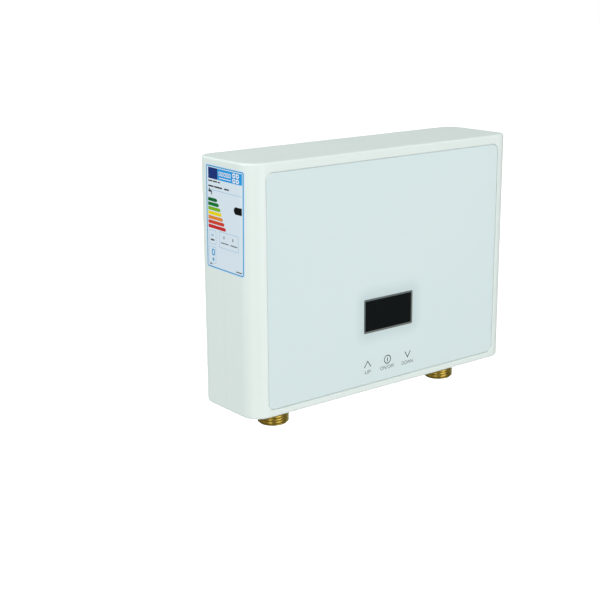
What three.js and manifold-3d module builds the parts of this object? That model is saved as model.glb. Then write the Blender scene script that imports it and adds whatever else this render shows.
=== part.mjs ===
// Wall-hung tankless water heater with a glass front panel.
// Millimetres, +Z up. The back lies on the wall at y = 0, the glass faces -Y, and +X is to the right
// of someone who faces the glass. The origin is the middle of the back face.

import * as THREE from "three";
import { mergeVertices } from "three/addons/utils/BufferGeometryUtils.js";
import Module from "manifold-3d";

const wasm = await Module();
wasm.setup();

// Clearances, cuts and facets
const fit = 0.3;
const runningGap = 0.6;
const overrun = 1;
const roundSides = 18;
const bossSides = 12;
const screwSides = 8;
const leadSides = 8;
const hexSides = 6;
const cornerSteps = 4;
const edgeSteps = 2;
const bendSteps = 4;

// Case
const caseWidth = 223;
const caseHeight = 160;
const caseDepth = 59;
const caseCornerRadius = 12;
const caseEdgeRadius = 1.5;
const caseWall = 2.5;
const lipHeight = 2;
const lipThickness = 1;

// Water fittings' places from the sides and the front: the shells part on the plane of their axes
const pipeInset = 36.5;
const pipeFrontDepth = 29.5;

// Glass panel, the rim that frames it and the tape that holds it
const rimSide = 12.3;
const rimTop = 5.7;
const glassGap = 0.4;
const glassThickness = 3;
const glassRecess = 0.5;
const glassCornerRadius = 5;
const tapeThickness = 0.5;
const tapeWidth = 6;
const tapeInset = 1;
const ledgeThickness = 2.2;
const ledgeWindowWidth = 60;
const ledgeWindowHeight = 56;

// Self-tapping screws
const screwShankRadius = 1.45;
const screwHeadRadius = 3;
const screwHeadHeight = 2.2;
const screwHeadTopShare = 0.8;
const screwSlotWidth = 0.8;
const screwSlotLength = 3.2;
const screwSlotDepth = 1;
const screwLongLength = 15;
const screwMiddleLength = 10;
const screwShortLength = 8;

// Screw bosses that hold the two shells together
const bossRadius = 5.2;
const bossInsetSide = 13;
const bossInsetTop = 12;
const bossFloor = 5;

// Keyholes for the wall screws
const keyholeSpacing = 120;
const keyholeHeight = 40;
const keyholeHeadRadius = 4.5;
const keyholeSlotRadius = 2.3;
const keyholeSlotLength = 9;

// Display board and what stands on it
const displayHeight = -28.4;
const displayModuleWidth = 41;
const displayModuleHeight = 21.5;
const displayModuleDepth = 8;
const displayBoardWidth = 78;
const displayBoardHeight = 66;
const displayBoardMiddle = -42;
const boardThickness = 1.6;
const boardHoleInset = 3.5;
const postRadius = 3;
const pegRadius = 1.4;
const pegHeadRadius = 2.4;
const pegHeadHeight = 1;

// Touch springs: one under each mark on the glass
const keySpacing = 18;
const keyHeight = -61;
const springRadius = 3.4;
const springWireRadius = 0.4;
const springTurns = 3;
const springStepsPerTurn = 8;
const springSides = 5;

// Power board and its components
const powerBoardMargin = 23;
const powerBoardHeight = 42;
const powerBoardMiddle = -53;
const powerBoardStandoff = 9.5;
const standoffRadius = 3.5;
const relayWidthShare = 0.18;
const relayHeight = 15.5;
const relayDepth = 15.5;
const relayPlaceShare = 0.265;
const relayZ = -64.25;
const relayEdge = 1;
const coreWidthShare = 0.19;
const coreHeight = 18;
const coreDepth = 11;
const bobbinWidthShare = 0.115;
const bobbinHeight = 15;
const bobbinDepth = 16;
const transformerPlaceShare = 0.03;
const transformerZ = -49;
const heatsinkWidthShare = 0.23;
const heatsinkHeight = 16;
const heatsinkDepth = 11;
const heatsinkPlaceShare = 0.28;
const heatsinkZ = -43;
const heatsinkFins = 5;
const heatsinkSlotShare = 0.5;
const heatsinkSlotDepth = 8;
const triacWidthShare = 0.095;
const triacHeight = 9;
const triacDepth = 4.4;
const triacTabHeight = 6;
const triacTabDepth = 1.3;
const triacHoleRadius = 1.9;
const capacitorRadius = 5;
const capacitorLength = 16;
const capacitorPlaceShare = -0.29;
const capacitorZ = -38.5;
const headerWidth = 10;
const headerHeight = 4;
const headerDepth = 5;
const plugWidthShare = 0.075;
const plugHeight = 6;
const plugDepth = 7;
const plugInset = 6;
const plugRightZ = -54.5;
const plugLeftZ = -69;
const ribbonHeight = -64;
const ribbonWidth = 8;
const ribbonThickness = 1;
const ribbonSag = 1.5;
const ribbonSteps = 10;

// Terminal block
const terminalWays = 3;
const terminalPitchShare = 0.096;
const terminalBlockHeight = 14;
const terminalBlockDepth = 14;
const terminalPlaceShare = -0.3;
const terminalBlockZ = -53;
const terminalWellRadius = 2.7;
const terminalWellDepth = 6;
const terminalScrewRadius = 2.2;
const terminalScrewLength = 4.5;
const terminalMouthWidth = 5;
const terminalMouthDepth = 4;
const terminalMouthLength = 6;

// Cast heater block
const blockInset = 22.5;
const blockBottom = -18;
const blockTop = 58;
const blockThickness = 24;
const blockCornerRadius = 8;
const archMargin = 10;
const archHeight = 13;
const earReach = 6;
const earRadius = 6;
const earThickness = 5;
const earHeight = 20;

// Water tube cast into the block
const tubeRadius = 7;
const tubeWall = 1;
const tubeTop = 42;
const tubeBend = 18;
const tubeSides = 10;

// Heating elements cast into the block
const elementRadius = 4;
const elementSides = 8;
const elementFoot = 3;
const outerElementInset = 19;
const outerElementTop = 24;
const outerElementBend = 14;
const elementPitch = 16;
const innerElementTop = 7;
const innerElementBend = 12;
const studRadius = 1.5;
const studLength = 8;
const linkThickness = 1;
const linkWidth = 7;
const linkEnd = 4;
const linkDrop = 4;

// Thermal cut-out with its reset button
const cutoutInset = 45;
const cutoutZ = 38;
const cutoutFlangeSpan = 24;
const cutoutFlangeRadius = 4.5;
const cutoutFlangeThickness = 1;
const cutoutRadius = 8;
const cutoutHeight = 7.5;
const cutoutTabWidth = 6.3;
const cutoutTabThickness = 0.8;
const cutoutTabLength = 7;
const cutoutTabRise = 3;
const resetRadius = 1.6;
const resetLength = 6;
const resetRise = 1.8;
const resetTravel = 1.5;
const cutoutScrewLength = 5;

// Earth screw and tag
const earthInset = 45;
const earthZ = 50;
const earthTagRadius = 4.2;
const earthTagThickness = 0.8;
const earthBarrelRadius = 1.9;
const earthBarrelLength = 6;

// Brass nipples
const threadRadius = 10.48;
const threadDepth = 1.16;
const threadPitch = 1.814;
const threadLength = 16;
const neckRadius = 9.9;
const nippleBoreRadius = 6;
const flangeAcross = 24;
const flangeHeight = 5;
const spigotRadius = 9.3;
const spigotLength = 12;
const sealGrooveHeight = 2.8;
const sealGrooveDepth = 1.7;
const sealGrooveRise = 6;
const sealSides = 5;
const filterSeatRadius = 7.6;
const filterSeatDepth = 9;
const filterThickness = 1.6;
const filterCircleShare = 0.48;
const filterHoleRadius = 1.3;
const filterHoles = 6;
const keeperThickness = 2.5;
const keeperMargin = 2;

// Flow sensor and outlet coupling
const couplingRadius = 12.5;
const couplingHeight = 42.4;
const tubeSocketDepth = 9;
const tubeSealHeight = 2.8;
const tubeSealDepth = 1.8;
const tubeSealRise = 4;
const turbineBoreRadius = 7.5;
const turbineLength = 15.4;
const capHeight = 3.5;
const capRim = 2;
const hubRadius = 2.2;
const vaneThickness = 1.4;
const vanes = 3;
const upperHubHeight = 3;
const shaftRadius = 0.8;
const hubFloor = 0.8;
const rotorHubRadius = 2.8;
const rotorBladeThickness = 1.1;
const rotorBlades = 5;
const rotorSteps = 5;
const rotorTwist = Math.PI / 2;
const sensorSeatReach = 14;
const sensorWidth = 12;
const sensorHeight = 14;
const sensorDepth = 5;
const sensorMiddle = -49;
const probeMiddle = -48;
const probeBossRadius = 5;
const probeBossReach = 14;
const probeRadius = 2.5;
const probeTip = 4;
const probeHeadRadius = 4.3;
const probeHeadHeight = 3;

// Cable grommet
const grommetRadius = 9;
const grommetGrooveRadius = 7.2;
const grommetBoreRadius = 4;
const grommetOuterHeight = 4;
const grommetInnerHeight = 5;
const grommetEdge = 1.5;

// Wires inside the case: their radii, and the points of their routes, chosen by hand. A point's X is
// for pipes at routePipeX and its Y is counted from the plane where the shells part.
const mainsLeadRadius = 1.4;
const signalLeadRadius = 1;
const leadSteps = 11;
const leadStub = 2;
const routePipeX = 75;
const liveRoute = [[24, -11.5, -54], [6, -13, -40], [-10, -13.9, -24], [-22, -14.1, -8], [-29, -14.9, 8]];
const cutoutRoute = [
  [-24, -16.5, 59], [0, -16.5, 62], [36, -16.5, 60], [50, -15.5, 36],
  [52, -15, -4], [51, -14.5, -21], [49, -7.5, -31],
];
const neutralRoute = [[-46, 0.5, -35]];
const earthRoute = [[-8, -2.5, -30], [10, -6.5, -24], [24, -13.5, -14], [29, -14.1, 8]];
const sensorRoute = [[60, -13.5, -50], [53, -2.5, -53]];
const probeRoute = [[-71, -20.8, -52], [-60, -16.5, -62], [-50, -2.5, -68]];

// Places worked out from the sizes
const sideX = caseWidth / 2;
const topZ = caseHeight / 2;
const frontY = -caseDepth;
const pipeX = sideX - pipeInset;
const pipeSpacing = 2 * pipeX;
const seamY = frontY + pipeFrontDepth;
const innerX = sideX - caseWall;
const innerZ = topZ - caseWall;
const floorZ = -innerZ;
const recessWidth = caseWidth - 2 * rimSide;
const recessHeight = caseHeight - 2 * rimTop;
const glassFrontY = frontY + glassRecess;
const glassBackY = glassFrontY + glassThickness;
const ledgeY = glassBackY + tapeThickness;
const ledgeBackY = ledgeY + ledgeThickness;
const bossX = sideX - bossInsetSide;
const bossZ = topZ - bossInsetTop;
const screwHoleRadius = screwShankRadius + fit;
const headHoleRadius = screwHeadRadius + fit;
const displayFrontY = glassBackY + fit;
const displayBoardY = displayFrontY + displayModuleDepth;
const displayHoleX = displayBoardWidth / 2 - boardHoleInset;
const displayHoleReach = displayBoardHeight / 2 - boardHoleInset;
const powerBoardBackY = -caseWall - powerBoardStandoff;
const powerBoardY = powerBoardBackY - boardThickness;
const powerBoardWidth = 2 * (pipeX - powerBoardMargin);
const relayWidth = powerBoardWidth * relayWidthShare;
const relayX = powerBoardWidth * relayPlaceShare;
const coreWidth = powerBoardWidth * coreWidthShare;
const bobbinWidth = powerBoardWidth * bobbinWidthShare;
const transformerX = powerBoardWidth * transformerPlaceShare;
const heatsinkWidth = powerBoardWidth * heatsinkWidthShare;
const heatsinkX = powerBoardWidth * heatsinkPlaceShare;
const triacWidth = powerBoardWidth * triacWidthShare;
const capacitorX = powerBoardWidth * capacitorPlaceShare;
const plugWidth = powerBoardWidth * plugWidthShare;
const terminalPitch = powerBoardWidth * terminalPitchShare;
const terminalBlockX = powerBoardWidth * terminalPlaceShare;
const powerHoleX = powerBoardWidth / 2 - boardHoleInset;
const powerHoleReach = powerBoardHeight / 2 - boardHoleInset;
const blockWidth = caseWidth - 2 * blockInset;
const outerElementSpan = 2 * (pipeX - outerElementInset);
const innerElementSpan = outerElementSpan - 2 * elementPitch;
const archWidth = innerElementSpan - 2 * archMargin;
const cutoutX = cutoutInset - pipeX;
const earthX = pipeX - earthInset;
const blockBackY = seamY + blockThickness / 2;
const blockFrontY = seamY - blockThickness / 2;
const earX = blockWidth / 2 + earReach;
const flangeTopZ = floorZ + flangeHeight;
const keeperZ = flangeTopZ + fit;
const keeperTopZ = keeperZ + keeperThickness;
const spigotTopZ = flangeTopZ + spigotLength;
const nippleEndZ = -topZ - threadLength;
const couplingBottomZ = keeperTopZ + fit;
const couplingTopZ = couplingBottomZ + couplingHeight;
const socketRadius = spigotRadius + fit;
const capBottomZ = spigotTopZ + fit;
const capTopZ = capBottomZ + capHeight;
const turbineBottomZ = capTopZ + fit;
const turbineTopZ = turbineBottomZ + turbineLength;
const tubeSocketRadius = tubeRadius + fit;
const tubeStopZ = couplingTopZ - tubeSocketDepth;
const tubeEndZ = tubeStopZ + fit;
const tubeBoreRadius = tubeRadius - tubeWall;
const terminalBlockWidth = terminalWays * terminalPitch;
const terminalFrontY = powerBoardY - terminalBlockDepth;
const cutoutBaseY = blockFrontY - cutoutFlangeThickness;
const cutoutFrontY = cutoutBaseY - cutoutHeight;
const studEndZ = blockBottom - elementFoot - studLength;
const linkTopZ = blockBottom - elementFoot - linkDrop;
const linkX = (outerElementSpan + innerElementSpan) / 4;
const cutoutTabY = cutoutBaseY - cutoutTabRise;
const cutoutTabReach = cutoutRadius + cutoutTabLength;
const terminalMiddleY = (powerBoardY + terminalFrontY) / 2;
const terminalTopZ = terminalBlockZ + terminalBlockHeight / 2;
const plugX = powerBoardWidth / 2 - plugInset;
const earthBarrelEndZ = earthZ - earthTagRadius - earthBarrelLength + earthTagThickness;

// Solids from geometries, and back

function outward(index, positions) {
  const a = new THREE.Vector3();
  const b = new THREE.Vector3();
  const c = new THREE.Vector3();
  let volume = 0;
  for (let i = 0; i < index.length; i += 3) {
    a.fromArray(positions, index[i] * 3);
    b.fromArray(positions, index[i + 1] * 3);
    c.fromArray(positions, index[i + 2] * 3);
    volume += a.dot(b.cross(c));
  }
  return volume > 0;
}

// Some sweeps and turned profiles come out with their faces inwards, and these are turned round.
function solidOf(geometry) {
  const bare = geometry.clone();
  bare.deleteAttribute("normal");
  bare.deleteAttribute("uv");
  const merged = mergeVertices(bare);
  const positions = merged.attributes.position.array;
  const index = [];
  for (let i = 0; i < merged.index.count; i += 3) {
    const [a, b, c] = [0, 1, 2].map((corner) => merged.index.getX(i + corner));
    if (a !== b && b !== c && c !== a) {
      index.push(a, b, c);
    }
  }
  if (!outward(index, positions)) {
    index.reverse();
  }
  const mesh = new wasm.Mesh({ numProp: 3, vertProperties: positions, triVerts: new Uint32Array(index) });
  return new wasm.Manifold(mesh);
}

function geometryOf(solid) {
  const mesh = solid.getMesh();
  const geometry = new THREE.BufferGeometry();
  geometry.setAttribute("position", new THREE.BufferAttribute(Float32Array.from(mesh.vertProperties), 3));
  geometry.setIndex(new THREE.BufferAttribute(Uint32Array.from(mesh.triVerts), 1));
  const flat = geometry.toNonIndexed();
  flat.computeVertexNormals();
  return flat;
}

function join(first, ...others) {
  return others.reduce((whole, piece) => whole.add(piece), first);
}

function cut(whole, ...tools) {
  return tools.reduce((rest, tool) => rest.subtract(tool), whole);
}

// Basic shapes, each a solid at its place

function bar({ x, y, z }) {
  const size = [x, y, z].map(([from, to]) => Math.abs(to - from));
  const middle = [x, y, z].map(([from, to]) => (from + to) / 2);
  return solidOf(new THREE.BoxGeometry(...size).translate(...middle));
}

function around(middle, size) {
  return [middle - size / 2, middle + size / 2];
}

const facings = {
  up: (geometry) => geometry.rotateX(Math.PI / 2),
  front: (geometry) => geometry.rotateX(Math.PI),
  back: (geometry) => geometry,
};

// A solid of revolution: its profile lists [radius, height], with the height along the facing.
function turned(profile, facing, place, sides = roundSides) {
  const points = profile.map(([radius, height]) => new THREE.Vector2(radius, height));
  const geometry = facings[facing](new THREE.LatheGeometry(points, sides));
  return solidOf(geometry.translate(...place));
}

function rod(radius, from, to, facing, place, sides = roundSides) {
  return turned([[0, from], [radius, from], [radius, to], [0, to]], facing, place, sides);
}

function ring(middleRadius, sectionRadius, height, place) {
  const profile = [];
  for (let i = 0; i <= sealSides; i += 1) {
    const angle = (2 * Math.PI * (i % sealSides)) / sealSides;
    profile.push([middleRadius + sectionRadius * Math.cos(angle), height + sectionRadius * Math.sin(angle)]);
  }
  return turned(profile, "up", place, roundSides);
}

function roundedRectangle(width, height, radius) {
  const x = width / 2 - radius;
  const y = height / 2 - radius;
  const shape = new THREE.Shape();
  shape.absarc(x, y, radius, 0, Math.PI / 2);
  shape.absarc(-x, y, radius, Math.PI / 2, Math.PI);
  shape.absarc(-x, -y, radius, Math.PI, 1.5 * Math.PI);
  shape.absarc(x, -y, radius, 1.5 * Math.PI, 2 * Math.PI);
  shape.closePath();
  return shape;
}

function polygon(radius, sides) {
  const points = [];
  for (let i = 0; i < sides; i += 1) {
    const angle = (2 * Math.PI * i) / sides;
    points.push(new THREE.Vector2(radius * Math.cos(angle), radius * Math.sin(angle)));
  }
  return points;
}

// An outline in the front view, X to the right and Z up, made solid from one depth to another.
function plate(shape, backY, faceY, x, z) {
  const geometry = new THREE.ExtrudeGeometry(shape, {
    depth: backY - faceY,
    bevelEnabled: false,
    curveSegments: cornerSteps,
  });
  return solidOf(geometry.rotateX(Math.PI / 2).translate(x, backY, z));
}

function swept(outline, path, steps, hole = null) {
  const shape = new THREE.Shape(outline);
  if (hole) {
    shape.holes.push(new THREE.Path(hole));
  }
  const geometry = new THREE.ExtrudeGeometry(shape, { steps, extrudePath: path, bevelEnabled: false });
  return solidOf(geometry);
}

function mirrored(places) {
  return places.flatMap(([x, z]) => [[x, z], [-x, z]]);
}

// Curves

// Two legs, two bends and a crown. The crown and each leg take one step and each bend takes
// bendSteps, so rings are spread by stage and not by length.
const uStages = 2 * bendSteps + 3;

class InvertedU extends THREE.Curve {
  constructor(span, footZ, crownZ, bend) {
    super();
    Object.assign(this, { span, footZ, crownZ, bend });
  }

  getPoint(t, target = new THREE.Vector3()) {
    const side = t < 0.5 ? 1 : -1;
    const stage = (uStages / 2) * (1 - Math.abs(1 - 2 * t));
    const bendX = this.span / 2 - this.bend;
    const bendZ = this.crownZ - this.bend;
    if (stage < 1) {
      return target.set((side * this.span) / 2, seamY, THREE.MathUtils.lerp(this.footZ, bendZ, stage));
    }
    if (stage < 1 + bendSteps) {
      const angle = ((stage - 1) / bendSteps) * (Math.PI / 2);
      const x = bendX + this.bend * Math.cos(angle);
      return target.set(side * x, seamY, bendZ + this.bend * Math.sin(angle));
    }
    const crownShare = 2 * (stage - 1 - bendSteps);
    return target.set(side * bendX * (1 - crownShare), seamY, this.crownZ);
  }

  getPointAt(u, target) {
    return this.getPoint(u, target);
  }

  getTangentAt(u, target) {
    return this.getTangent(u, target);
  }
}

class Coil extends THREE.Curve {
  constructor(x, z, backY, faceY) {
    super();
    Object.assign(this, { x, z, backY, faceY });
  }

  getPoint(t, target = new THREE.Vector3()) {
    const angle = 2 * Math.PI * springTurns * t;
    const x = this.x + springRadius * Math.cos(angle);
    const z = this.z + springRadius * Math.sin(angle);
    return target.set(x, THREE.MathUtils.lerp(this.backY, this.faceY, t), z);
  }
}

// Materials

function material(color, roughness, metalness) {
  return new THREE.MeshStandardMaterial({ color, roughness, metalness });
}

const materials = {
  caseWhite: material("#e3ebe6", 0.4, 0),
  glass: material("#d4e2e2", 0.08, 0),
  tape: material("#c9cccb", 0.9, 0),
  brass: material("#b8953f", 0.3, 1),
  aluminium: material("#b4b7b9", 0.45, 1),
  steel: material("#a9acae", 0.3, 1),
  copper: material("#b87345", 0.35, 1),
  rubber: material("#232527", 0.8, 0),
  boardGreen: material("#1f6b45", 0.5, 0),
  blackPlastic: material("#1c1e20", 0.45, 0),
  whitePlastic: material("#dcdcd6", 0.5, 0),
  relayBlue: material("#2b5da8", 0.45, 0),
  terminalGrey: material("#8d9296", 0.5, 0),
  redPlastic: material("#b3271e", 0.45, 0),
  brownLead: material("#6b4226", 0.5, 0),
  blueLead: material("#2d5fa6", 0.5, 0),
  earthLead: material("#7fa832", 0.5, 0),
  greyLead: material("#9a9d9f", 0.5, 0),
};

const heater = new THREE.Group();

function addPart(name, solid, surface) {
  const mesh = new THREE.Mesh(geometryOf(solid), surface.clone());
  mesh.name = name;
  heater.add(mesh);
}

// Screws: the head lies on its seat at the given height, and the shank runs on behind it

function screw(place, facing, length) {
  const profile = [
    [0, -length],
    [screwShankRadius, -length],
    [screwShankRadius, 0],
    [screwHeadRadius, 0],
    [screwHeadRadius * screwHeadTopShare, screwHeadHeight],
    [0, screwHeadHeight],
  ];
  const body = turned(profile, facing, place, screwSides);
  const [x, y, z] = place;
  const outwards = facing === "front" ? -1 : 1;
  const depths = [
    y + outwards * (screwHeadHeight - screwSlotDepth),
    y + outwards * (screwHeadHeight + overrun),
  ];
  const across = bar({ x: around(x, screwSlotLength), y: depths, z: around(z, screwSlotWidth) });
  const upright = bar({ x: around(x, screwSlotWidth), y: depths, z: around(z, screwSlotLength) });
  return cut(body, across, upright);
}

// Case: one hollow form, parted on the plane of the pipes

const bossPlaces = mirrored([[bossX, bossZ], [bossX, -bossZ]]);
const earPlaces = mirrored([[earX, earHeight]]);
const displayBossPlaces = mirrored([
  [displayHoleX, displayBoardMiddle + displayHoleReach],
  [displayHoleX, displayBoardMiddle - displayHoleReach],
]);
const powerBossPlaces = mirrored([
  [powerHoleX, powerBoardMiddle + powerHoleReach],
  [powerHoleX, powerBoardMiddle - powerHoleReach],
]);

function caseForm() {
  const middleY = frontY / 2;
  const outline = roundedRectangle(caseWidth, caseDepth, caseCornerRadius);
  const geometry = new THREE.ExtrudeGeometry(outline, {
    depth: caseHeight - 2 * caseEdgeRadius,
    bevelThickness: caseEdgeRadius,
    bevelSize: caseEdgeRadius,
    bevelOffset: -caseEdgeRadius,
    bevelSegments: edgeSteps,
    curveSegments: cornerSteps,
  });
  const outer = solidOf(geometry.translate(0, middleY, caseEdgeRadius - topZ));
  const hollowDepth = -caseWall - ledgeBackY;
  const hollow = roundedRectangle(2 * innerX, hollowDepth, caseCornerRadius - caseWall);
  const core = new THREE.ExtrudeGeometry(hollow, {
    depth: 2 * innerZ,
    bevelEnabled: false,
    curveSegments: cornerSteps,
  });
  return cut(outer, solidOf(core.translate(0, -caseWall - hollowDepth / 2, floorZ)));
}

function caseHalf(depths) {
  const reach = [-sideX - overrun, sideX + overrun];
  const height = [-topZ - overrun, topZ + overrun];
  return caseForm().intersect(bar({ x: reach, y: depths, z: height }));
}

// The holes for the nipples and the grommet are shared by both shells, half and half.
function floorHoles() {
  const heights = [-topZ - overrun, floorZ + overrun];
  const pipeHoleRadius = threadRadius + fit;
  return [
    rod(pipeHoleRadius, ...heights, "up", [pipeX, seamY, 0]),
    rod(pipeHoleRadius, ...heights, "up", [-pipeX, seamY, 0]),
    rod(grommetGrooveRadius + fit, ...heights, "up", [0, seamY, 0]),
  ];
}

function seamRing(outerGrowth, depths) {
  const outer = bar({
    x: [-innerX - outerGrowth, innerX + outerGrowth],
    y: depths,
    z: [floorZ - outerGrowth, innerZ + outerGrowth],
  });
  const inner = bar({
    x: [-innerX, innerX],
    y: [depths[0] + overrun, depths[1] - overrun],
    z: [floorZ, innerZ],
  });
  return cut(outer, inner);
}

function keyhole(x) {
  const depths = [-caseWall - overrun, overrun];
  const slotTop = keyholeHeight + keyholeSlotLength;
  const head = rod(keyholeHeadRadius, ...depths, "back", [x, 0, keyholeHeight]);
  const slot = bar({ x: around(x, 2 * keyholeSlotRadius), y: depths, z: [keyholeHeight, slotTop] });
  const end = rod(keyholeSlotRadius, ...depths, "back", [x, 0, slotTop]);
  return join(head, slot, end);
}

// The keeper rib stands over a nipple's flange and holds it down on the floor of the case.
function keeperRib(x) {
  const width = flangeAcross + 2 * keeperMargin;
  const rib = bar({ x: around(x, width), y: [seamY, -caseWall + overrun], z: [keeperZ, keeperTopZ] });
  return cut(rib, rod(socketRadius, keeperZ - overrun, keeperTopZ + overrun, "up", [x, seamY, 0]));
}

function rearShell() {
  let shell = caseHalf([seamY, overrun]);
  shell = join(shell, seamRing(lipThickness, [seamY + overrun, seamY - lipHeight]));
  for (const [x, z] of bossPlaces) {
    shell = join(shell, rod(bossRadius, seamY, -caseWall + overrun, "back", [x, 0, z], bossSides));
    const floorY = seamY + bossFloor;
    shell = cut(
      shell,
      rod(headHoleRadius, floorY, overrun, "back", [x, 0, z], bossSides),
      rod(screwHoleRadius, seamY - overrun, overrun, "back", [x, 0, z], screwSides),
    );
  }
  for (const [x, z] of earPlaces) {
    shell = join(shell, rod(earRadius, blockBackY, -caseWall + overrun, "back", [x, 0, z], bossSides));
    const pilotEndY = blockBackY - earThickness + screwMiddleLength + fit;
    shell = cut(shell, rod(screwHoleRadius, blockBackY - overrun, pilotEndY, "back", [x, 0, z], screwSides));
  }
  for (const [x, z] of powerBossPlaces) {
    const standoff = rod(standoffRadius, powerBoardBackY, -caseWall + overrun, "back", [x, 0, z], screwSides);
    shell = join(shell, standoff);
    const pilotEndY = powerBoardY + screwShortLength + fit;
    const pilot = rod(screwHoleRadius, powerBoardBackY - overrun, pilotEndY, "back", [x, 0, z], screwSides);
    shell = cut(shell, pilot);
  }
  shell = join(shell, keeperRib(pipeX), keeperRib(-pipeX));
  return cut(shell, keyhole(keyholeSpacing / 2), keyhole(-keyholeSpacing / 2), ...floorHoles());
}

// A post carries the display board on its shoulder, and its peg's spread head holds the board.
function displayPost(place) {
  const headY = displayBoardY + boardThickness + fit;
  return turned([
    [0, ledgeBackY - overrun],
    [postRadius, ledgeBackY - overrun],
    [postRadius, displayBoardY],
    [pegRadius, displayBoardY],
    [pegRadius, headY],
    [pegHeadRadius, headY],
    [pegRadius, headY + pegHeadHeight],
    [0, headY + pegHeadHeight],
  ], "back", place, screwSides);
}

function frontCover() {
  let cover = caseHalf([frontY - overrun, seamY]);
  const recess = roundedRectangle(recessWidth, recessHeight, glassCornerRadius + glassGap);
  const ledgeWindow = bar({
    x: around(0, ledgeWindowWidth),
    y: [frontY - overrun, ledgeBackY + overrun],
    z: around(displayBoardMiddle, ledgeWindowHeight),
  });
  cover = cut(cover, plate(recess, ledgeY, frontY - overrun, 0, 0), ledgeWindow);
  cover = cut(cover, seamRing(lipThickness + fit, [seamY + overrun, seamY - lipHeight - fit]));
  for (const [x, z] of bossPlaces) {
    const pilotEndY = seamY + bossFloor - screwLongLength - fit;
    cover = join(cover, rod(bossRadius, ledgeBackY - overrun, seamY, "back", [x, 0, z], bossSides));
    cover = cut(cover, rod(screwHoleRadius, pilotEndY, seamY + overrun, "back", [x, 0, z], screwSides));
  }
  for (const [x, z] of displayBossPlaces) {
    cover = join(cover, displayPost([x, 0, z]));
  }
  return cut(cover, ...floorHoles());
}

function addCase() {
  addPart("rear_shell", rearShell(), materials.caseWhite);
  addPart("front_cover", frontCover(), materials.caseWhite);
  bossPlaces.forEach(([x, z], i) => {
    addPart(`case_screw_${i + 1}`, screw([x, seamY + bossFloor, z], "back", screwLongLength), materials.steel);
  });
}

// Glass panel on its tape

function addGlass() {
  const width = recessWidth - 2 * glassGap;
  const height = recessHeight - 2 * glassGap;
  const outline = roundedRectangle(width, height, glassCornerRadius);
  addPart("glass_panel", plate(outline, glassBackY, glassFrontY, 0, 0), materials.glass);
  const tapeOuterWidth = width - 2 * tapeInset;
  const tapeOuterHeight = height - 2 * tapeInset;
  const band = roundedRectangle(tapeOuterWidth, tapeOuterHeight, glassCornerRadius - tapeInset);
  const opening = bar({
    x: around(0, tapeOuterWidth - 2 * tapeWidth),
    y: [ledgeY + overrun, glassBackY - overrun],
    z: around(0, tapeOuterHeight - 2 * tapeWidth),
  });
  addPart("panel_tape", cut(plate(band, ledgeY, glassBackY, 0, 0), opening), materials.tape);
}

// Display board with its module and touch springs

function displayBoard() {
  let board = bar({
    x: around(0, displayBoardWidth),
    y: [displayBoardY, displayBoardY + boardThickness],
    z: around(displayBoardMiddle, displayBoardHeight),
  });
  const backY = displayBoardY + boardThickness;
  board = join(board, bar({
    x: around(0, headerWidth),
    y: [displayBoardY, backY + headerDepth],
    z: around(ribbonHeight, headerHeight),
  }));
  for (const [x, z] of displayBossPlaces) {
    const peg = rod(pegRadius + fit, displayBoardY - overrun, backY + overrun, "back", [x, 0, z], screwSides);
    board = cut(board, peg);
  }
  return board;
}

function displayModule() {
  return bar({
    x: around(0, displayModuleWidth),
    y: [displayFrontY, displayBoardY],
    z: around(displayHeight, displayModuleHeight),
  });
}

function leastGap(curve, wireRadius, turns, stepsPerTurn) {
  const points = curve.getSpacedPoints(turns * stepsPerTurn);
  let least = Infinity;
  for (let i = 0; i < points.length; i += 1) {
    for (let j = i + stepsPerTurn / 2; j < points.length; j += 1) {
      least = Math.min(least, points[i].distanceTo(points[j]) - 2 * wireRadius);
    }
  }
  return least;
}

function addDisplay() {
  addPart("display_board", displayBoard(), materials.boardGreen);
  addPart("display_module", displayModule(), materials.blackPlastic);
  const backY = displayBoardY - springWireRadius - fit;
  const faceY = glassBackY + springWireRadius + fit;
  ["up", "power", "down"].forEach((key, i) => {
    const coil = new Coil((i - 1) * keySpacing, keyHeight, backY, faceY);
    const wire = polygon(springWireRadius, springSides);
    addPart(`touch_spring_${key}`, swept(wire, coil, springTurns * springStepsPerTurn), materials.steel);
    const gap = leastGap(coil, springWireRadius, springTurns, springStepsPerTurn);
    console.log(`touch_spring_${key}: least gap between turns ${gap.toFixed(2)} mm`);
  });
}

// Power board

function powerBoard() {
  let board = bar({
    x: around(0, powerBoardWidth),
    y: [powerBoardY, powerBoardBackY],
    z: around(powerBoardMiddle, powerBoardHeight),
  });
  const soldered = (x, z, [width, height, depth]) => bar({
    x: around(x, width),
    y: [powerBoardY - depth, powerBoardBackY],
    z: around(z, height),
  });
  const plug = [plugWidth, plugHeight, plugDepth];
  const canDepths = [powerBoardY - capacitorLength, powerBoardBackY];
  board = join(
    board,
    soldered(0, ribbonHeight, [headerWidth, headerHeight, headerDepth]),
    soldered(plugX, plugRightZ, plug),
    soldered(-plugX, plugLeftZ, plug),
    soldered(transformerX, transformerZ, [coreWidth, coreHeight, coreDepth]),
    soldered(transformerX, transformerZ, [bobbinWidth, bobbinHeight, bobbinDepth]),
    rod(capacitorRadius, ...canDepths, "back", [capacitorX, 0, capacitorZ]),
  );
  for (const [x, z] of powerBossPlaces) {
    const depths = [powerBoardY - overrun, powerBoardBackY + overrun];
    board = cut(board, rod(screwHoleRadius, ...depths, "back", [x, 0, z], screwSides));
  }
  return board;
}

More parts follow.
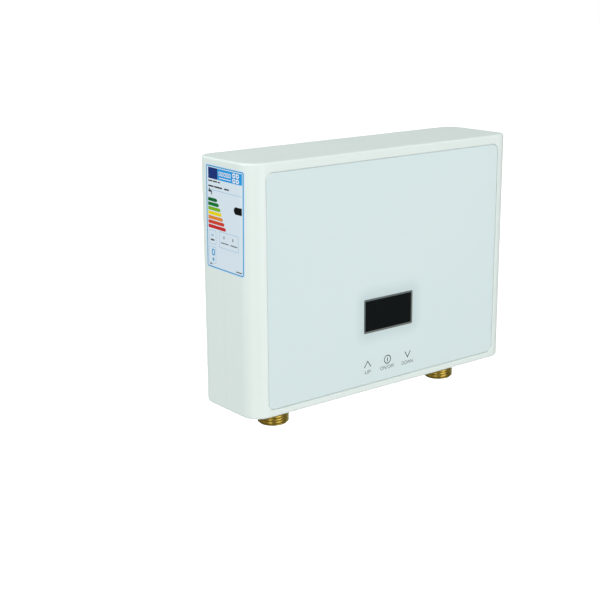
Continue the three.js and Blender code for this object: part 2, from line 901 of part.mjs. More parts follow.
function relay() {
  const geometry = new THREE.ExtrudeGeometry(roundedRectangle(relayWidth, relayHeight, relayEdge), {
    depth: relayDepth - relayEdge,
    bevelThickness: relayEdge,
    bevelSize: relayEdge,
    bevelOffset: -relayEdge,
    bevelSegments: 1,
    curveSegments: 1,
  });
  const flatBack = bar({
    x: around(relayX, 2 * relayWidth),
    y: [powerBoardY, powerBoardY + relayDepth],
    z: around(relayZ, 2 * relayHeight),
  });
  return cut(solidOf(geometry.rotateX(Math.PI / 2).translate(relayX, powerBoardY, relayZ)), flatBack);
}

function heatsink() {
  const faceY = powerBoardY - heatsinkDepth;
  let body = bar({
    x: around(heatsinkX, heatsinkWidth),
    y: [faceY, powerBoardY],
    z: around(heatsinkZ, heatsinkHeight),
  });
  const pitch = heatsinkWidth / heatsinkFins;
  for (let i = 1; i < heatsinkFins; i += 1) {
    const x = heatsinkX - heatsinkWidth / 2 + i * pitch;
    body = cut(body, bar({
      x: around(x, pitch * heatsinkSlotShare),
      y: [powerBoardY - heatsinkSlotDepth, powerBoardY + overrun],
      z: around(heatsinkZ, heatsinkHeight + 2 * overrun),
    }));
  }
  return body;
}

function triac() {
  const backY = powerBoardY - heatsinkDepth;
  const bottomZ = heatsinkZ - heatsinkHeight / 2;
  const bodyTopZ = bottomZ + triacHeight;
  const across = around(heatsinkX, triacWidth);
  const body = bar({ x: across, y: [backY - triacDepth, backY], z: [bottomZ, bodyTopZ] });
  const tab = bar({
    x: across,
    y: [backY - triacTabDepth, backY],
    z: [bodyTopZ - overrun, bodyTopZ + triacTabHeight],
  });
  const holePlace = [heatsinkX, 0, bodyTopZ + triacTabHeight / 2];
  const hole = rod(triacHoleRadius, backY - triacDepth, backY + overrun, "back", holePlace, screwSides);
  return cut(join(body, tab), hole);
}

function terminalX(way) {
  return terminalBlockX + (way - (terminalWays - 1) / 2) * terminalPitch;
}

function terminalBlock() {
  const bottomZ = terminalBlockZ - terminalBlockHeight / 2;
  let body = bar({
    x: around(terminalBlockX, terminalBlockWidth),
    y: [terminalFrontY, powerBoardY],
    z: around(terminalBlockZ, terminalBlockHeight),
  });
  for (let way = 0; way < terminalWays; way += 1) {
    const x = terminalX(way);
    const well = [terminalFrontY - overrun, terminalFrontY + terminalWellDepth];
    body = cut(
      body,
      rod(terminalWellRadius, ...well, "back", [x, 0, terminalBlockZ], screwSides),
      bar({
        x: around(x, terminalMouthWidth),
        y: around((terminalFrontY + terminalWellDepth + powerBoardY) / 2, terminalMouthDepth),
        z: [bottomZ - overrun, bottomZ + terminalMouthLength],
      }),
    );
  }
  return body;
}

function terminalScrew(x) {
  const seatY = terminalFrontY + terminalWellDepth;
  const headY = seatY - terminalScrewLength;
  const body = rod(terminalScrewRadius, headY, seatY, "back", [x, 0, terminalBlockZ], screwSides);
  const slot = bar({
    x: around(x, 2 * terminalScrewRadius + overrun),
    y: [headY - overrun, headY + screwSlotDepth],
    z: around(terminalBlockZ, screwSlotWidth),
  });
  return cut(body, slot);
}

function addPower() {
  addPart("power_board", powerBoard(), materials.boardGreen);
  addPart("relay", relay(), materials.relayBlue);
  addPart("triac_heatsink", heatsink(), materials.aluminium);
  addPart("triac", triac(), materials.blackPlastic);
  addPart("terminal_block", terminalBlock(), materials.terminalGrey);
  for (let way = 0; way < terminalWays; way += 1) {
    addPart(`terminal_screw_${way + 1}`, terminalScrew(terminalX(way)), materials.steel);
  }
  powerBossPlaces.slice(0, 2).forEach(([x, z], i) => {
    const fixing = screw([x, powerBoardY, z], "front", screwShortLength);
    addPart(`power_board_screw_${i + 1}`, fixing, materials.steel);
  });
}

// Heater block with the tube and elements cast in

const tubePath = new InvertedU(pipeSpacing, tubeEndZ, tubeTop, tubeBend);
const elementFootZ = blockBottom - elementFoot;
const outerElementPath = new InvertedU(outerElementSpan, elementFootZ, outerElementTop, outerElementBend);
const innerElementPath = new InvertedU(innerElementSpan, elementFootZ, innerElementTop, innerElementBend);

function blockOutline() {
  return roundedRectangle(blockWidth, blockTop - blockBottom, blockCornerRadius);
}

function heaterBlock() {
  const middleZ = (blockTop + blockBottom) / 2;
  let block = plate(blockOutline(), blockBackY, blockFrontY, 0, middleZ);
  const arch = roundedRectangle(archWidth, 2 * archHeight, blockCornerRadius);
  block = cut(block, plate(arch, blockBackY + overrun, blockFrontY - overrun, 0, blockBottom));
  for (const [x, z] of earPlaces) {
    const towards = Math.sign(x) * (blockWidth / 2 - overrun);
    const ear = join(
      rod(earRadius, blockBackY - earThickness, blockBackY, "back", [x, 0, z], bossSides),
      bar({ x: [towards, x], y: [blockBackY - earThickness, blockBackY], z: around(z, 2 * earRadius) }),
    );
    const depths = [blockBackY - earThickness - overrun, blockBackY + overrun];
    block = cut(join(block, ear), rod(screwHoleRadius, ...depths, "back", [x, 0, z], screwSides));
  }
  block = cut(
    block,
    swept(polygon(tubeSocketRadius, tubeSides), tubePath, uStages),
    swept(polygon(elementRadius + fit, elementSides), outerElementPath, uStages),
    swept(polygon(elementRadius + fit, elementSides), innerElementPath, uStages),
  );
  const tapped = [
    [cutoutX - cutoutFlangeSpan / 2, cutoutZ, cutoutScrewLength - cutoutFlangeThickness],
    [cutoutX + cutoutFlangeSpan / 2, cutoutZ, cutoutScrewLength - cutoutFlangeThickness],
    [earthX, earthZ, cutoutScrewLength - earthTagThickness],
  ];
  for (const [x, z, depth] of tapped) {
    const depths = [blockFrontY - overrun, blockFrontY + depth + fit];
    block = cut(block, rod(screwHoleRadius, ...depths, "back", [x, 0, z], screwSides));
  }
  return block;
}

function heatingElement(path, span) {
  let element = swept(polygon(elementRadius, elementSides), path, uStages);
  for (const side of [1, -1]) {
    const heights = [studEndZ, elementFootZ + overrun];
    element = join(element, rod(studRadius, ...heights, "up", [(side * span) / 2, seamY, 0], leadSides));
  }
  return element;
}

// A copper link clamps both studs of one side, so the two elements work in parallel.
function elementLink(side) {
  const x = [(side * innerElementSpan) / 2, (side * outerElementSpan) / 2];
  const ends = [x[0] - side * linkEnd, x[1] + side * linkEnd];
  const strap = bar({ x: ends, y: around(seamY, linkWidth), z: [linkTopZ - linkThickness, linkTopZ] });
  const heights = [linkTopZ - linkThickness - overrun, linkTopZ + overrun];
  const holes = x.map((studX) => rod(studRadius + fit, ...heights, "up", [studX, seamY, 0], leadSides));
  return cut(strap, ...holes);
}

function addHeater() {
  addPart("heater_block", heaterBlock(), materials.aluminium);
  const tube = swept(polygon(tubeRadius, tubeSides), tubePath, uStages, polygon(tubeBoreRadius, tubeSides));
  addPart("water_tube", tube, materials.steel);
  addPart("heating_element_outer", heatingElement(outerElementPath, outerElementSpan), materials.steel);
  addPart("heating_element_inner", heatingElement(innerElementPath, innerElementSpan), materials.steel);
  addPart("element_link_live", elementLink(1), materials.copper);
  addPart("element_link_neutral", elementLink(-1), materials.copper);
  earPlaces.forEach(([x, z], i) => {
    const place = [x, blockBackY - earThickness, z];
    addPart(`block_screw_${i + 1}`, screw(place, "front", screwMiddleLength), materials.steel);
  });
}

// Thermal cut-out and earth screw on the front of the block

const cutoutScrewPlaces = [-1, 1].map((side) => cutoutX + (side * cutoutFlangeSpan) / 2);

function thermalCutout() {
  const depths = [cutoutBaseY, blockFrontY];
  let body = bar({
    x: around(cutoutX, cutoutFlangeSpan),
    y: depths,
    z: around(cutoutZ, 2 * cutoutFlangeRadius),
  });
  for (const x of cutoutScrewPlaces) {
    body = join(body, rod(cutoutFlangeRadius, ...depths, "back", [x, 0, cutoutZ], bossSides));
  }
  body = join(body, rod(cutoutRadius, cutoutFrontY, blockFrontY, "back", [cutoutX, 0, cutoutZ]));
  body = join(body, bar({
    x: around(cutoutX, cutoutTabWidth),
    y: around(cutoutTabY, cutoutTabThickness),
    z: around(cutoutZ, 2 * cutoutTabReach),
  }));
  for (const x of cutoutScrewPlaces) {
    const hole = [cutoutBaseY - overrun, blockFrontY + overrun];
    body = cut(body, rod(screwHoleRadius, ...hole, "back", [x, 0, cutoutZ], screwSides));
  }
  const wellEndY = cutoutFrontY - resetRise + resetLength + resetTravel + fit;
  const well = [cutoutFrontY - overrun, wellEndY];
  return cut(body, rod(resetRadius + fit, ...well, "back", [cutoutX, 0, cutoutZ], screwSides));
}

function addCutout() {
  addPart("thermal_cutout", thermalCutout(), materials.blackPlastic);
  const capY = cutoutFrontY - resetRise;
  const button = rod(resetRadius, capY, capY + resetLength, "back", [cutoutX, 0, cutoutZ], screwSides);
  addPart("reset_button", button, materials.redPlastic);
  cutoutScrewPlaces.forEach((x, i) => {
    const fixing = screw([x, cutoutBaseY, cutoutZ], "front", cutoutScrewLength);
    addPart(`cutout_screw_${i + 1}`, fixing, materials.steel);
  });
  const earthSeatY = blockFrontY - earthTagThickness;
  addPart("earth_screw", screw([earthX, earthSeatY, earthZ], "front", cutoutScrewLength), materials.steel);
}

// Nipples, seals and filter

function threadProfile(endZ, rootZ) {
  const ridges = Math.floor((rootZ - endZ) / threadPitch);
  const rootRadius = threadRadius - threadDepth;
  const points = [];
  for (let i = 0; i < ridges; i += 1) {
    const z = endZ + i * threadPitch;
    points.push([rootRadius, z], [threadRadius, z + threadPitch / 2]);
  }
  points.push([rootRadius, endZ + ridges * threadPitch]);
  return points;
}

function nipple(x) {
  const grooveZ = flangeTopZ + sealGrooveRise;
  const threadTopZ = -topZ;
  const profile = [
    [nippleBoreRadius, nippleEndZ + filterSeatDepth],
    [filterSeatRadius, nippleEndZ + filterSeatDepth],
    [filterSeatRadius, nippleEndZ],
    ...threadProfile(nippleEndZ, threadTopZ),
    [neckRadius, threadTopZ],
    [neckRadius, flangeTopZ],
    [spigotRadius, flangeTopZ],
    [spigotRadius, grooveZ - sealGrooveHeight / 2],
    [spigotRadius - sealGrooveDepth, grooveZ - sealGrooveHeight / 2],
    [spigotRadius - sealGrooveDepth, grooveZ + sealGrooveHeight / 2],
    [spigotRadius, grooveZ + sealGrooveHeight / 2],
    [spigotRadius, spigotTopZ],
    [nippleBoreRadius, spigotTopZ],
    [nippleBoreRadius, nippleEndZ + filterSeatDepth],
  ];
  const body = turned(profile, "up", [x, seamY, 0]);
  const hexRadius = flangeAcross / Math.sqrt(3);
  const hex = rod(hexRadius, floorZ, flangeTopZ, "up", [x, seamY, 0], hexSides);
  const bore = rod(nippleBoreRadius, floorZ - overrun, flangeTopZ + overrun, "up", [x, seamY, 0]);
  return join(body, cut(hex, bore));
}

function inletFilter() {
  const bottomZ = nippleEndZ + filterSeatDepth - fit - filterThickness;
  const topFaceZ = bottomZ + filterThickness;
  const radius = filterSeatRadius - fit;
  let disc = rod(radius, bottomZ, topFaceZ, "up", [pipeX, seamY, 0]);
  const holeCircle = radius * filterCircleShare;
  const heights = [bottomZ - overrun, topFaceZ + overrun];
  disc = cut(disc, rod(filterHoleRadius, ...heights, "up", [pipeX, seamY, 0], screwSides));
  for (let i = 0; i < filterHoles; i += 1) {
    const angle = (2 * Math.PI * i) / filterHoles;
    const place = [pipeX + holeCircle * Math.cos(angle), seamY + holeCircle * Math.sin(angle), 0];
    disc = cut(disc, rod(filterHoleRadius, ...heights, "up", place, screwSides));
  }
  return disc;
}

function spigotSeal(x) {
  const grooveRadius = spigotRadius - sealGrooveDepth;
  const section = (socketRadius - grooveRadius) / 2 - fit / 2;
  return ring((socketRadius + grooveRadius) / 2, section, flangeTopZ + sealGrooveRise, [x, seamY, 0]);
}

function tubeSeal(x) {
  const grooveRadius = tubeSocketRadius + tubeSealDepth;
  const section = (grooveRadius - tubeRadius) / 2 - fit / 2;
  return ring((grooveRadius + tubeRadius) / 2, section, tubeStopZ + tubeSealRise, [x, seamY, 0]);
}

function addNipples() {
  addPart("inlet_nipple", nipple(pipeX), materials.brass);
  addPart("outlet_nipple", nipple(-pipeX), materials.brass);
  addPart("inlet_filter", inletFilter(), materials.whitePlastic);
  addPart("inlet_seal", spigotSeal(pipeX), materials.rubber);
  addPart("outlet_seal", spigotSeal(-pipeX), materials.rubber);
  addPart("tube_seal_inlet", tubeSeal(pipeX), materials.rubber);
  addPart("tube_seal_outlet", tubeSeal(-pipeX), materials.rubber);
}

// Flow sensor with its turbine, and the outlet coupling with its probe

function couplingProfile(boreRadius) {
  const sealZ = tubeStopZ + tubeSealRise;
  const sealRadius = tubeSocketRadius + tubeSealDepth;
  return [
    [socketRadius, couplingBottomZ],
    [couplingRadius, couplingBottomZ],
    [couplingRadius, couplingTopZ],
    [tubeSocketRadius, couplingTopZ],
    [tubeSocketRadius, sealZ + tubeSealHeight / 2],
    [sealRadius, sealZ + tubeSealHeight / 2],
    [sealRadius, sealZ - tubeSealHeight / 2],
    [tubeSocketRadius, sealZ - tubeSealHeight / 2],
    [tubeSocketRadius, tubeStopZ],
    [tubeBoreRadius, tubeStopZ],
    [tubeBoreRadius, turbineTopZ + upperHubHeight],
    [boreRadius, turbineTopZ + upperHubHeight],
    [boreRadius, turbineBottomZ],
    [socketRadius, turbineBottomZ],
    [socketRadius, couplingBottomZ],
  ];
}

// A hub on vanes carries one end of the shaft in a blind hole.
function hubOnVanes(reach, fromZ, toZ, holeFromZ, holeToZ) {
  let hub = rod(hubRadius, fromZ, toZ, "up", [pipeX, seamY, 0], screwSides);
  for (let i = 0; i < vanes; i += 1) {
    const vane = new THREE.BoxGeometry(reach, vaneThickness, toZ - fromZ);
    vane.translate(reach / 2, 0, (fromZ + toZ) / 2);
    vane.rotateZ((2 * Math.PI * i) / vanes);
    hub = join(hub, solidOf(vane.translate(pipeX, seamY, 0)));
  }
  return cut(hub, rod(shaftRadius + fit, holeFromZ, holeToZ, "up", [pipeX, seamY, 0], screwSides));
}

function flowSensorBody() {
  const body = turned(couplingProfile(turbineBoreRadius), "up", [pipeX, seamY, 0]);
  const hubTopZ = turbineTopZ + upperHubHeight;
  const reach = (turbineBoreRadius + couplingRadius) / 2;
  const hub = hubOnVanes(reach, turbineTopZ, hubTopZ, turbineTopZ - overrun, hubTopZ - hubFloor);
  const seat = bar({
    x: around(pipeX, sensorWidth),
    y: [seamY - sensorSeatReach, seamY - (turbineBoreRadius + couplingRadius) / 2],
    z: around(sensorMiddle, sensorHeight),
  });
  return join(body, hub, seat);
}

function flowSensorCap() {
  const outerRadius = socketRadius - fit;
  const innerRadius = outerRadius - capRim;
  const rim = turned([
    [innerRadius, capBottomZ],
    [outerRadius, capBottomZ],
    [outerRadius, capTopZ],
    [innerRadius, capTopZ],
    [innerRadius, capBottomZ],
  ], "up", [pipeX, seamY, 0]);
  const reach = (innerRadius + outerRadius) / 2;
  return join(rim, hubOnVanes(reach, capBottomZ, capTopZ, capBottomZ + hubFloor, capTopZ + overrun));
}

function rotor() {
  const bottomZ = capTopZ + runningGap;
  const height = turbineTopZ - runningGap - bottomZ;
  const tipRadius = turbineBoreRadius - runningGap;
  const outline = [];
  const corners = [[rotorHubRadius, -1], [tipRadius, -1], [tipRadius, 1], [rotorHubRadius, 1]];
  for (let i = 0; i < rotorBlades; i += 1) {
    const middle = (2 * Math.PI * i) / rotorBlades;
    for (const [radius, side] of corners) {
      const angle = middle + side * Math.asin(rotorBladeThickness / 2 / radius);
      outline.push(new THREE.Vector2(radius * Math.cos(angle), radius * Math.sin(angle)));
    }
    const between = middle + Math.PI / rotorBlades;
    outline.push(new THREE.Vector2(rotorHubRadius * Math.cos(between), rotorHubRadius * Math.sin(between)));
  }
  const shape = new THREE.Shape(outline);
  shape.holes.push(new THREE.Path(polygon(shaftRadius + fit, screwSides)));
  const geometry = new THREE.ExtrudeGeometry(shape, { depth: height, steps: rotorSteps, bevelEnabled: false });
  const axis = new THREE.Vector3(0, 0, 1);
  const position = geometry.attributes.position;
  const point = new THREE.Vector3();
  for (let i = 0; i < position.count; i += 1) {
    point.fromBufferAttribute(position, i);
    point.applyAxisAngle(axis, (rotorTwist * point.z) / height);
    position.setXYZ(i, point.x, point.y, point.z);
  }
  return solidOf(geometry.translate(pipeX, seamY, bottomZ));
}

function rotorShaft() {
  const bottomZ = capBottomZ + hubFloor + fit;
  const shaftTopZ = turbineTopZ + upperHubHeight - hubFloor - fit;
  return rod(shaftRadius, bottomZ, shaftTopZ, "up", [pipeX, seamY, 0], screwSides);
}

function hallSensor() {
  const backY = seamY - sensorSeatReach;
  return bar({
    x: around(pipeX, sensorWidth),
    y: [backY - sensorDepth, backY],
    z: around(sensorMiddle, sensorHeight),
  });
}

function outletCoupling() {
  const body = turned(couplingProfile(tubeBoreRadius), "up", [-pipeX, seamY, 0]);
  const place = [-pipeX, 0, probeMiddle];
  const bossEndY = seamY - probeBossReach;
  const insideY = seamY - (tubeBoreRadius + couplingRadius) / 2;
  const boss = rod(probeBossRadius, bossEndY, insideY, "back", place, bossSides);
  return cut(join(body, boss), rod(probeRadius + fit, bossEndY - overrun, seamY, "back", place, screwSides));
}

function outletProbe() {
  const place = [-pipeX, 0, probeMiddle];
  const bossEndY = seamY - probeBossReach;
  const stem = rod(probeRadius, bossEndY - overrun, seamY - probeTip, "back", place, screwSides);
  const head = rod(probeHeadRadius, bossEndY - probeHeadHeight, bossEndY, "back", place, hexSides);
  return join(stem, head);
}

function addWaterway() {
  addPart("flow_sensor_body", flowSensorBody(), materials.whitePlastic);
  addPart("flow_sensor_cap", flowSensorCap(), materials.whitePlastic);
  addPart("rotor", rotor(), materials.blackPlastic);
  addPart("rotor_shaft", rotorShaft(), materials.steel);
  addPart("hall_sensor", hallSensor(), materials.blackPlastic);
  addPart("outlet_coupling", outletCoupling(), materials.whitePlastic);
  addPart("outlet_probe", outletProbe(), materials.brass);
}

// Grommet, held by its groove between the shells

function cableGrommet() {
  const outerZ = -topZ - fit;
  const innerFaceZ = floorZ + fit;
  const profile = [
    [grommetBoreRadius, outerZ - grommetOuterHeight],
    [grommetRadius - grommetEdge, outerZ - grommetOuterHeight],
    [grommetRadius, outerZ - grommetOuterHeight + grommetEdge],
    [grommetRadius, outerZ],
    [grommetGrooveRadius, outerZ],
    [grommetGrooveRadius, innerFaceZ],
    [grommetRadius, innerFaceZ],
    [grommetRadius, innerFaceZ + grommetInnerHeight - grommetEdge],
    [grommetRadius - grommetEdge, innerFaceZ + grommetInnerHeight],
    [grommetBoreRadius, innerFaceZ + grommetInnerHeight],
    [grommetBoreRadius, outerZ - grommetOuterHeight],
  ];
  return turned(profile, "up", [0, seamY, 0]);
}

// Wires inside the closed case: each leaves and meets its terminals square to them

const directions = { up: [0, 0, 1], down: [0, 0, -1], front: [0, -1, 0], left: [-1, 0, 0] };

function smoothCurve(points) {
  const places = points.map((point) => new THREE.Vector3(...point));
  return new THREE.CatmullRomCurve3(places, false, "centripetal");
}

function lead(radius, start, leaving, route, end, meeting) {
  const stub = (place, direction) => place.map((value, i) => value + leadStub * directions[direction][i]);
  const spread = pipeX / routePipeX;
  const middle = route.map(([x, y, z]) => [x * spread, seamY + y, z]);
  const points = [start, stub(start, leaving), ...middle, stub(end, meeting), end];
  return swept(polygon(radius, leadSides), smoothCurve(points), leadSteps);
}

function liveLead() {
  const start = [relayX, powerBoardY - relayDepth - fit, relayZ];
  const end = [cutoutX, cutoutTabY, cutoutZ - cutoutTabReach - fit];
  return lead(mainsLeadRadius, start, "front", liveRoute, end, "down");
}

function cutoutLead() {
  const start = [cutoutX, cutoutTabY, cutoutZ + cutoutTabReach + fit];
  const end = [linkX, seamY, linkTopZ - linkThickness - fit];
  return lead(mainsLeadRadius, start, "up", cutoutRoute, end, "down");
}

function neutralLead() {
  const start = [-linkX, seamY, linkTopZ - linkThickness - fit];
  const end = [terminalX(0), terminalMiddleY, terminalTopZ + fit];
  return lead(mainsLeadRadius, start, "down", neutralRoute, end, "up");
}

function earthLead() {
  const start = [terminalX(terminalWays - 1), terminalMiddleY, terminalTopZ + fit];
  const end = [earthX, blockFrontY - earthBarrelRadius, earthBarrelEndZ - fit];
  return lead(mainsLeadRadius, start, "up", earthRoute, end, "down");
}

function sensorLead() {
  const start = [pipeX - sensorWidth / 2 - fit, seamY - sensorSeatReach - sensorDepth / 2, sensorMiddle];
  const end = [plugX, powerBoardY - plugDepth - fit, plugRightZ];
  return lead(signalLeadRadius, start, "left", sensorRoute, end, "front");
}

function probeLead() {
  const start = [-pipeX, seamY - probeBossReach - probeHeadHeight - fit, probeMiddle];
  const end = [-plugX, powerBoardY - plugDepth - fit, plugLeftZ];
  return lead(signalLeadRadius, start, "front", probeRoute, end, "front");
}

function displayRibbon() {
  const start = displayBoardY + boardThickness + headerDepth + fit;
  const end = powerBoardY - headerDepth - fit;
  const top = ribbonHeight + ribbonSag;
  const points = [
    [0, start, ribbonHeight],
    [0, start + leadStub, ribbonHeight],
    [0, (start + end) / 2, top],
    [0, end - leadStub, ribbonHeight],
    [0, end, ribbonHeight],
  ];
  const flat = [[-1, -1], [1, -1], [1, 1], [-1, 1]].map(([side, face]) => (
    new THREE.Vector2((side * ribbonWidth) / 2, (face * ribbonThickness) / 2)
  ));
  return swept(flat, smoothCurve(points), ribbonSteps);
}

// The tag is a flat ring under the earth screw, with a barrel that grips the wire.
function earthTag() {
  const depths = [blockFrontY - earthTagThickness, blockFrontY];
  const place = [earthX, 0, earthZ];
  const disc = rod(earthTagRadius, ...depths, "back", place, bossSides);
  const barrelPlace = [earthX, blockFrontY - earthBarrelRadius, 0];
  const barrelTopZ = earthBarrelEndZ + earthBarrelLength;
  const barrel = rod(earthBarrelRadius, earthBarrelEndZ, barrelTopZ, "up", barrelPlace, leadSides);
  const hole = rod(screwHoleRadius, depths[0] - overrun, depths[1] + overrun, "back", place, screwSides);
  return cut(join(disc, barrel), hole);
}

function addWires() {
  addPart("earth_tag", earthTag(), materials.steel);
  addPart("lead_live", liveLead(), materials.brownLead);
  addPart("lead_cutout", cutoutLead(), materials.brownLead);
  addPart("lead_neutral", neutralLead(), materials.blueLead);
  addPart("lead_earth", earthLead(), materials.earthLead);
  addPart("lead_sensor", sensorLead(), materials.greyLead);
  addPart("lead_probe", probeLead(), materials.greyLead);
  addPart("display_ribbon", displayRibbon(), materials.greyLead);
}

addCase();
addGlass();
addDisplay();
addPower();
addHeater();
addCutout();
addNipples();
addWaterway();
addPart("cable_grommet", cableGrommet(), materials.rubber);
addWires();

export default heater;
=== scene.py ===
"""Looks for the tankless water heater: its outer pieces remade with their real roundings and threads, and a
finish on every piece. The heater's sizes are in millimetres and are turned to metres where a piece is placed.
X is to the right, the wall is at Y = 0, the glass faces -Y and Z is up."""

import math

import bmesh
import bpy
from mathutils import Matrix, Vector


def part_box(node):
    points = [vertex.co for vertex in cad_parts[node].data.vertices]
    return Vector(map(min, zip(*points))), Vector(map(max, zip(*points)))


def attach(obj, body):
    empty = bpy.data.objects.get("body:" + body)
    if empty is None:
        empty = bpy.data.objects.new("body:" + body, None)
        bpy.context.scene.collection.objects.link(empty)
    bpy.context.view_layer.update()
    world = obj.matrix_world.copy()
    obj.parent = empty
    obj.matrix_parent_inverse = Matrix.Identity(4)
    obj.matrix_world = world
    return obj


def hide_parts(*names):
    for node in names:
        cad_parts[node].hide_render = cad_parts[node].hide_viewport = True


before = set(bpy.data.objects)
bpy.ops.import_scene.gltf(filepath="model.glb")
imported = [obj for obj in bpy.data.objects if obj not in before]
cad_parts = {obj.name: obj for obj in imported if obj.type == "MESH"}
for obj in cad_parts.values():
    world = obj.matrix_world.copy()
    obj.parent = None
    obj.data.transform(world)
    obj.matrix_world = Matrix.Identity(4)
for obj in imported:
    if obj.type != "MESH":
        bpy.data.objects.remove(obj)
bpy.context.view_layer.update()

MM = 0.001

# Case, and the joint of its two shells
HALF_WIDTH = 111.5
HALF_HEIGHT = 80
DEPTH = 59
CORNER = 12
RIM = 1.5
WALL = 2.5
INNER_X = HALF_WIDTH - WALL
INNER_Z = HALF_HEIGHT - WALL
SEAM = -29.5
SEAM_EDGE = 0.18
TONGUE_WIDTH = 1
TONGUE_HEIGHT = 2
TONGUE_PLAY = 0.3

# Ledge that carries the glass, and its opening for the display and the keys
LEDGE_FACE = -55
LEDGE_BACK = -52.8
LIP = 0.7
RECESS_CORNER = 5.4
OPENING_X = (-30, 30)
OPENING_Z = (-70, -14)
POST_X = 35.5
POST_Z = (-12.5, -71.5)

# Case screws and their bosses
BOSS_X = 98.5
BOSS_Z = 68
BOSS_RADIUS = 5.2
BOSS_ROOT = 1 - WALL
BOSS_HOLE_DEPTH = 10.3
SCREW_HOLE = 1.75
SCREW_SEAT = SEAM + 5
HEAD_HOLE = 3.3

# Bosses of the heater block and standoffs of the power board
BLOCK_BOSS_X = 95
BLOCK_BOSS_Z = 20
BLOCK_BOSS_RADIUS = 6
BLOCK_BOSS_FACE = SEAM + 12
BLOCK_HOLE_DEPTH = 5.3
STANDOFF_X = 48.5
STANDOFF_Z = (-35.5, -70.5)
STANDOFF_RADIUS = 3.5
STANDOFF_FACE = -12
STANDOFF_HOLE_DEPTH = 6.7

# Ribs over the nipples' hexagons, which keep them from being pushed in
KEEPER_WIDTH = 28
KEEPER_Z = (-72.2, -69.7)
KEEPER_HOLE = 9.6

# Keyholes for the wall screws
KEYHOLE_X = 60
KEYHOLE_Z = 40
KEYHOLE_RADIUS = 4.5
KEYHOLE_SLOT = 4.6
KEYHOLE_TOP = 51.3

# Glass, its window and its inks
GLASS_X = 99.6
GLASS_TOP = 73.8
GLASS_FOOT = -75.3
GLASS_FRONT = -58.5
GLASS_BACK = -55.5
GLASS_CORNER = 5.2
GLASS_EDGE = 0.7
GROOVE = 0.03
WINDOW_X = (-20.45, 19.9)
WINDOW_Z = (-38.9, -18.4)
BORDER_X = (-21.65, 21.25)
BORDER_Z = (-40.2, -17.15)
DISPLAY_X = (-19, 19)
DISPLAY_Z = (-38, -19)
POWER_KEY_X = -0.65
POWER_KEY_Z = -61.35
INK = 0.02

# Nipples
PIPE_X = 75
PIPE_HOLE = 10.78
THREAD_RADIUS = 10.48
THREAD_ROOT = 9.32
PITCH = 1.814
THREAD_TOP = -80.2
NIPPLE_END = -96
NIPPLE_TOP = -60.5
HEXAGON_WIDTH = 24
HEXAGON_Z = (-77.5, -72.5)
MOUTH = 8.6
WIDE_BORE = 7.6
BORE = 6

# Grommet
GROMMET_HOLE = 7.5
GROMMET_NECK = 7.2
GROMMET_FLANGE = 9
GROMMET_BORE = 4
GROMMET_Z = (-84.3, -72.2)
GROMMET_GROOVE = (-80.3, -77.2)

# Label film on the left side
LABEL_Y = (-52, -12.1)
LABEL_Z = (10.3, 76)
LABEL_SLANT = 1
FILM = 0.05


# Modelling


def deselect():
    if bpy.context.mode != "OBJECT":
        bpy.ops.object.mode_set(mode="OBJECT")
    bpy.ops.object.select_all(action="DESELECT")


def pick(piece):
    deselect()
    piece.select_set(True)
    bpy.context.view_layer.objects.active = piece


def settle(piece):
    """Moves the piece's place into its mesh and leaves its object at the origin."""
    pick(piece)
    bpy.ops.object.transform_apply(location=True, rotation=True, scale=True)
    return piece


def new_piece(name):
    piece = bpy.context.active_object
    piece.name = name
    piece.data.name = name
    return settle(piece)


def around(middle, size):
    return middle - size / 2, middle + size / 2


def cuboid(name, x, y, z):
    deselect()
    middle = [(low + high) / 2 * MM for low, high in (x, y, z)]
    size = [(high - low) * MM for low, high in (x, y, z)]
    bpy.ops.mesh.primitive_cube_add(size=1, location=middle, scale=size)
    return new_piece(name)


def edit(piece, kind="VERT"):
    """Opens the piece in edit mode with nothing selected."""
    pick(piece)
    bpy.ops.object.mode_set(mode="EDIT")
    bpy.ops.mesh.select_mode(type=kind)
    bpy.ops.mesh.select_all(action="DESELECT")
    return bmesh.from_edit_mesh(piece.data)


def leave(piece):
    bpy.ops.object.mode_set(mode="OBJECT")
    return piece


def edit_all(piece):
    edit(piece)
    bpy.ops.mesh.select_all(action="SELECT")


def choose_edges(piece, wanted):
    """Selects the sharp edges whose two ends, in millimetres, pass the test."""
    mesh = edit(piece, "EDGE")
    for edge in mesh.edges:
        if edge.calc_face_angle(math.pi) > 0.6 and wanted(*[end.co / MM for end in edge.verts]):
            edge.select_set(True)
    if not any(edge.select for edge in mesh.edges):
        raise ValueError(f"{piece.name} has no such edge")
    bmesh.update_edit_mesh(piece.data)


def round_edges(piece, wanted, radius, steps):
    choose_edges(piece, wanted)
    bpy.ops.mesh.bevel(offset=radius * MM, segments=steps, affect="EDGES", clamp_overlap=False)
    return leave(piece)


def near(value, target):
    return abs(value - target) < 0.01


def runs_along(axis):
    others = [i for i in range(3) if i != axis]
    return lambda a, b: all(near(a[i], b[i]) for i in others)


def lies_on(axis, *values):
    return lambda a, b: any(near(a[axis], value) and near(b[axis], value) for value in values)


def rounded_block(name, x, y, z, axis, radius, steps):
    """A block whose four edges along one axis are rounded."""
    return round_edges(cuboid(name, x, y, z), runs_along(axis), radius, steps)


def cut_plane(piece, axis, value, keep):
    """Cuts the piece on a plane, keeps its low or its high part and closes it."""
    edit_all(piece)
    place = [0, 0, 0]
    normal = [0, 0, 0]
    place[axis] = value * MM
    normal[axis] = 1
    bpy.ops.mesh.bisect(
        plane_co=place, plane_no=normal, use_fill=True, clear_outer=keep == "low", clear_inner=keep == "high",
        threshold=1e-7,
    )
    return leave(piece)


def modify(piece, kind, **settings):
    """Adds a modifier to the piece and applies it."""
    pick(piece)
    modifier = piece.modifiers.new(kind, kind)
    for key, value in settings.items():
        setattr(modifier, key, value)
    bpy.ops.object.modifier_apply(modifier=modifier.name)
    return piece


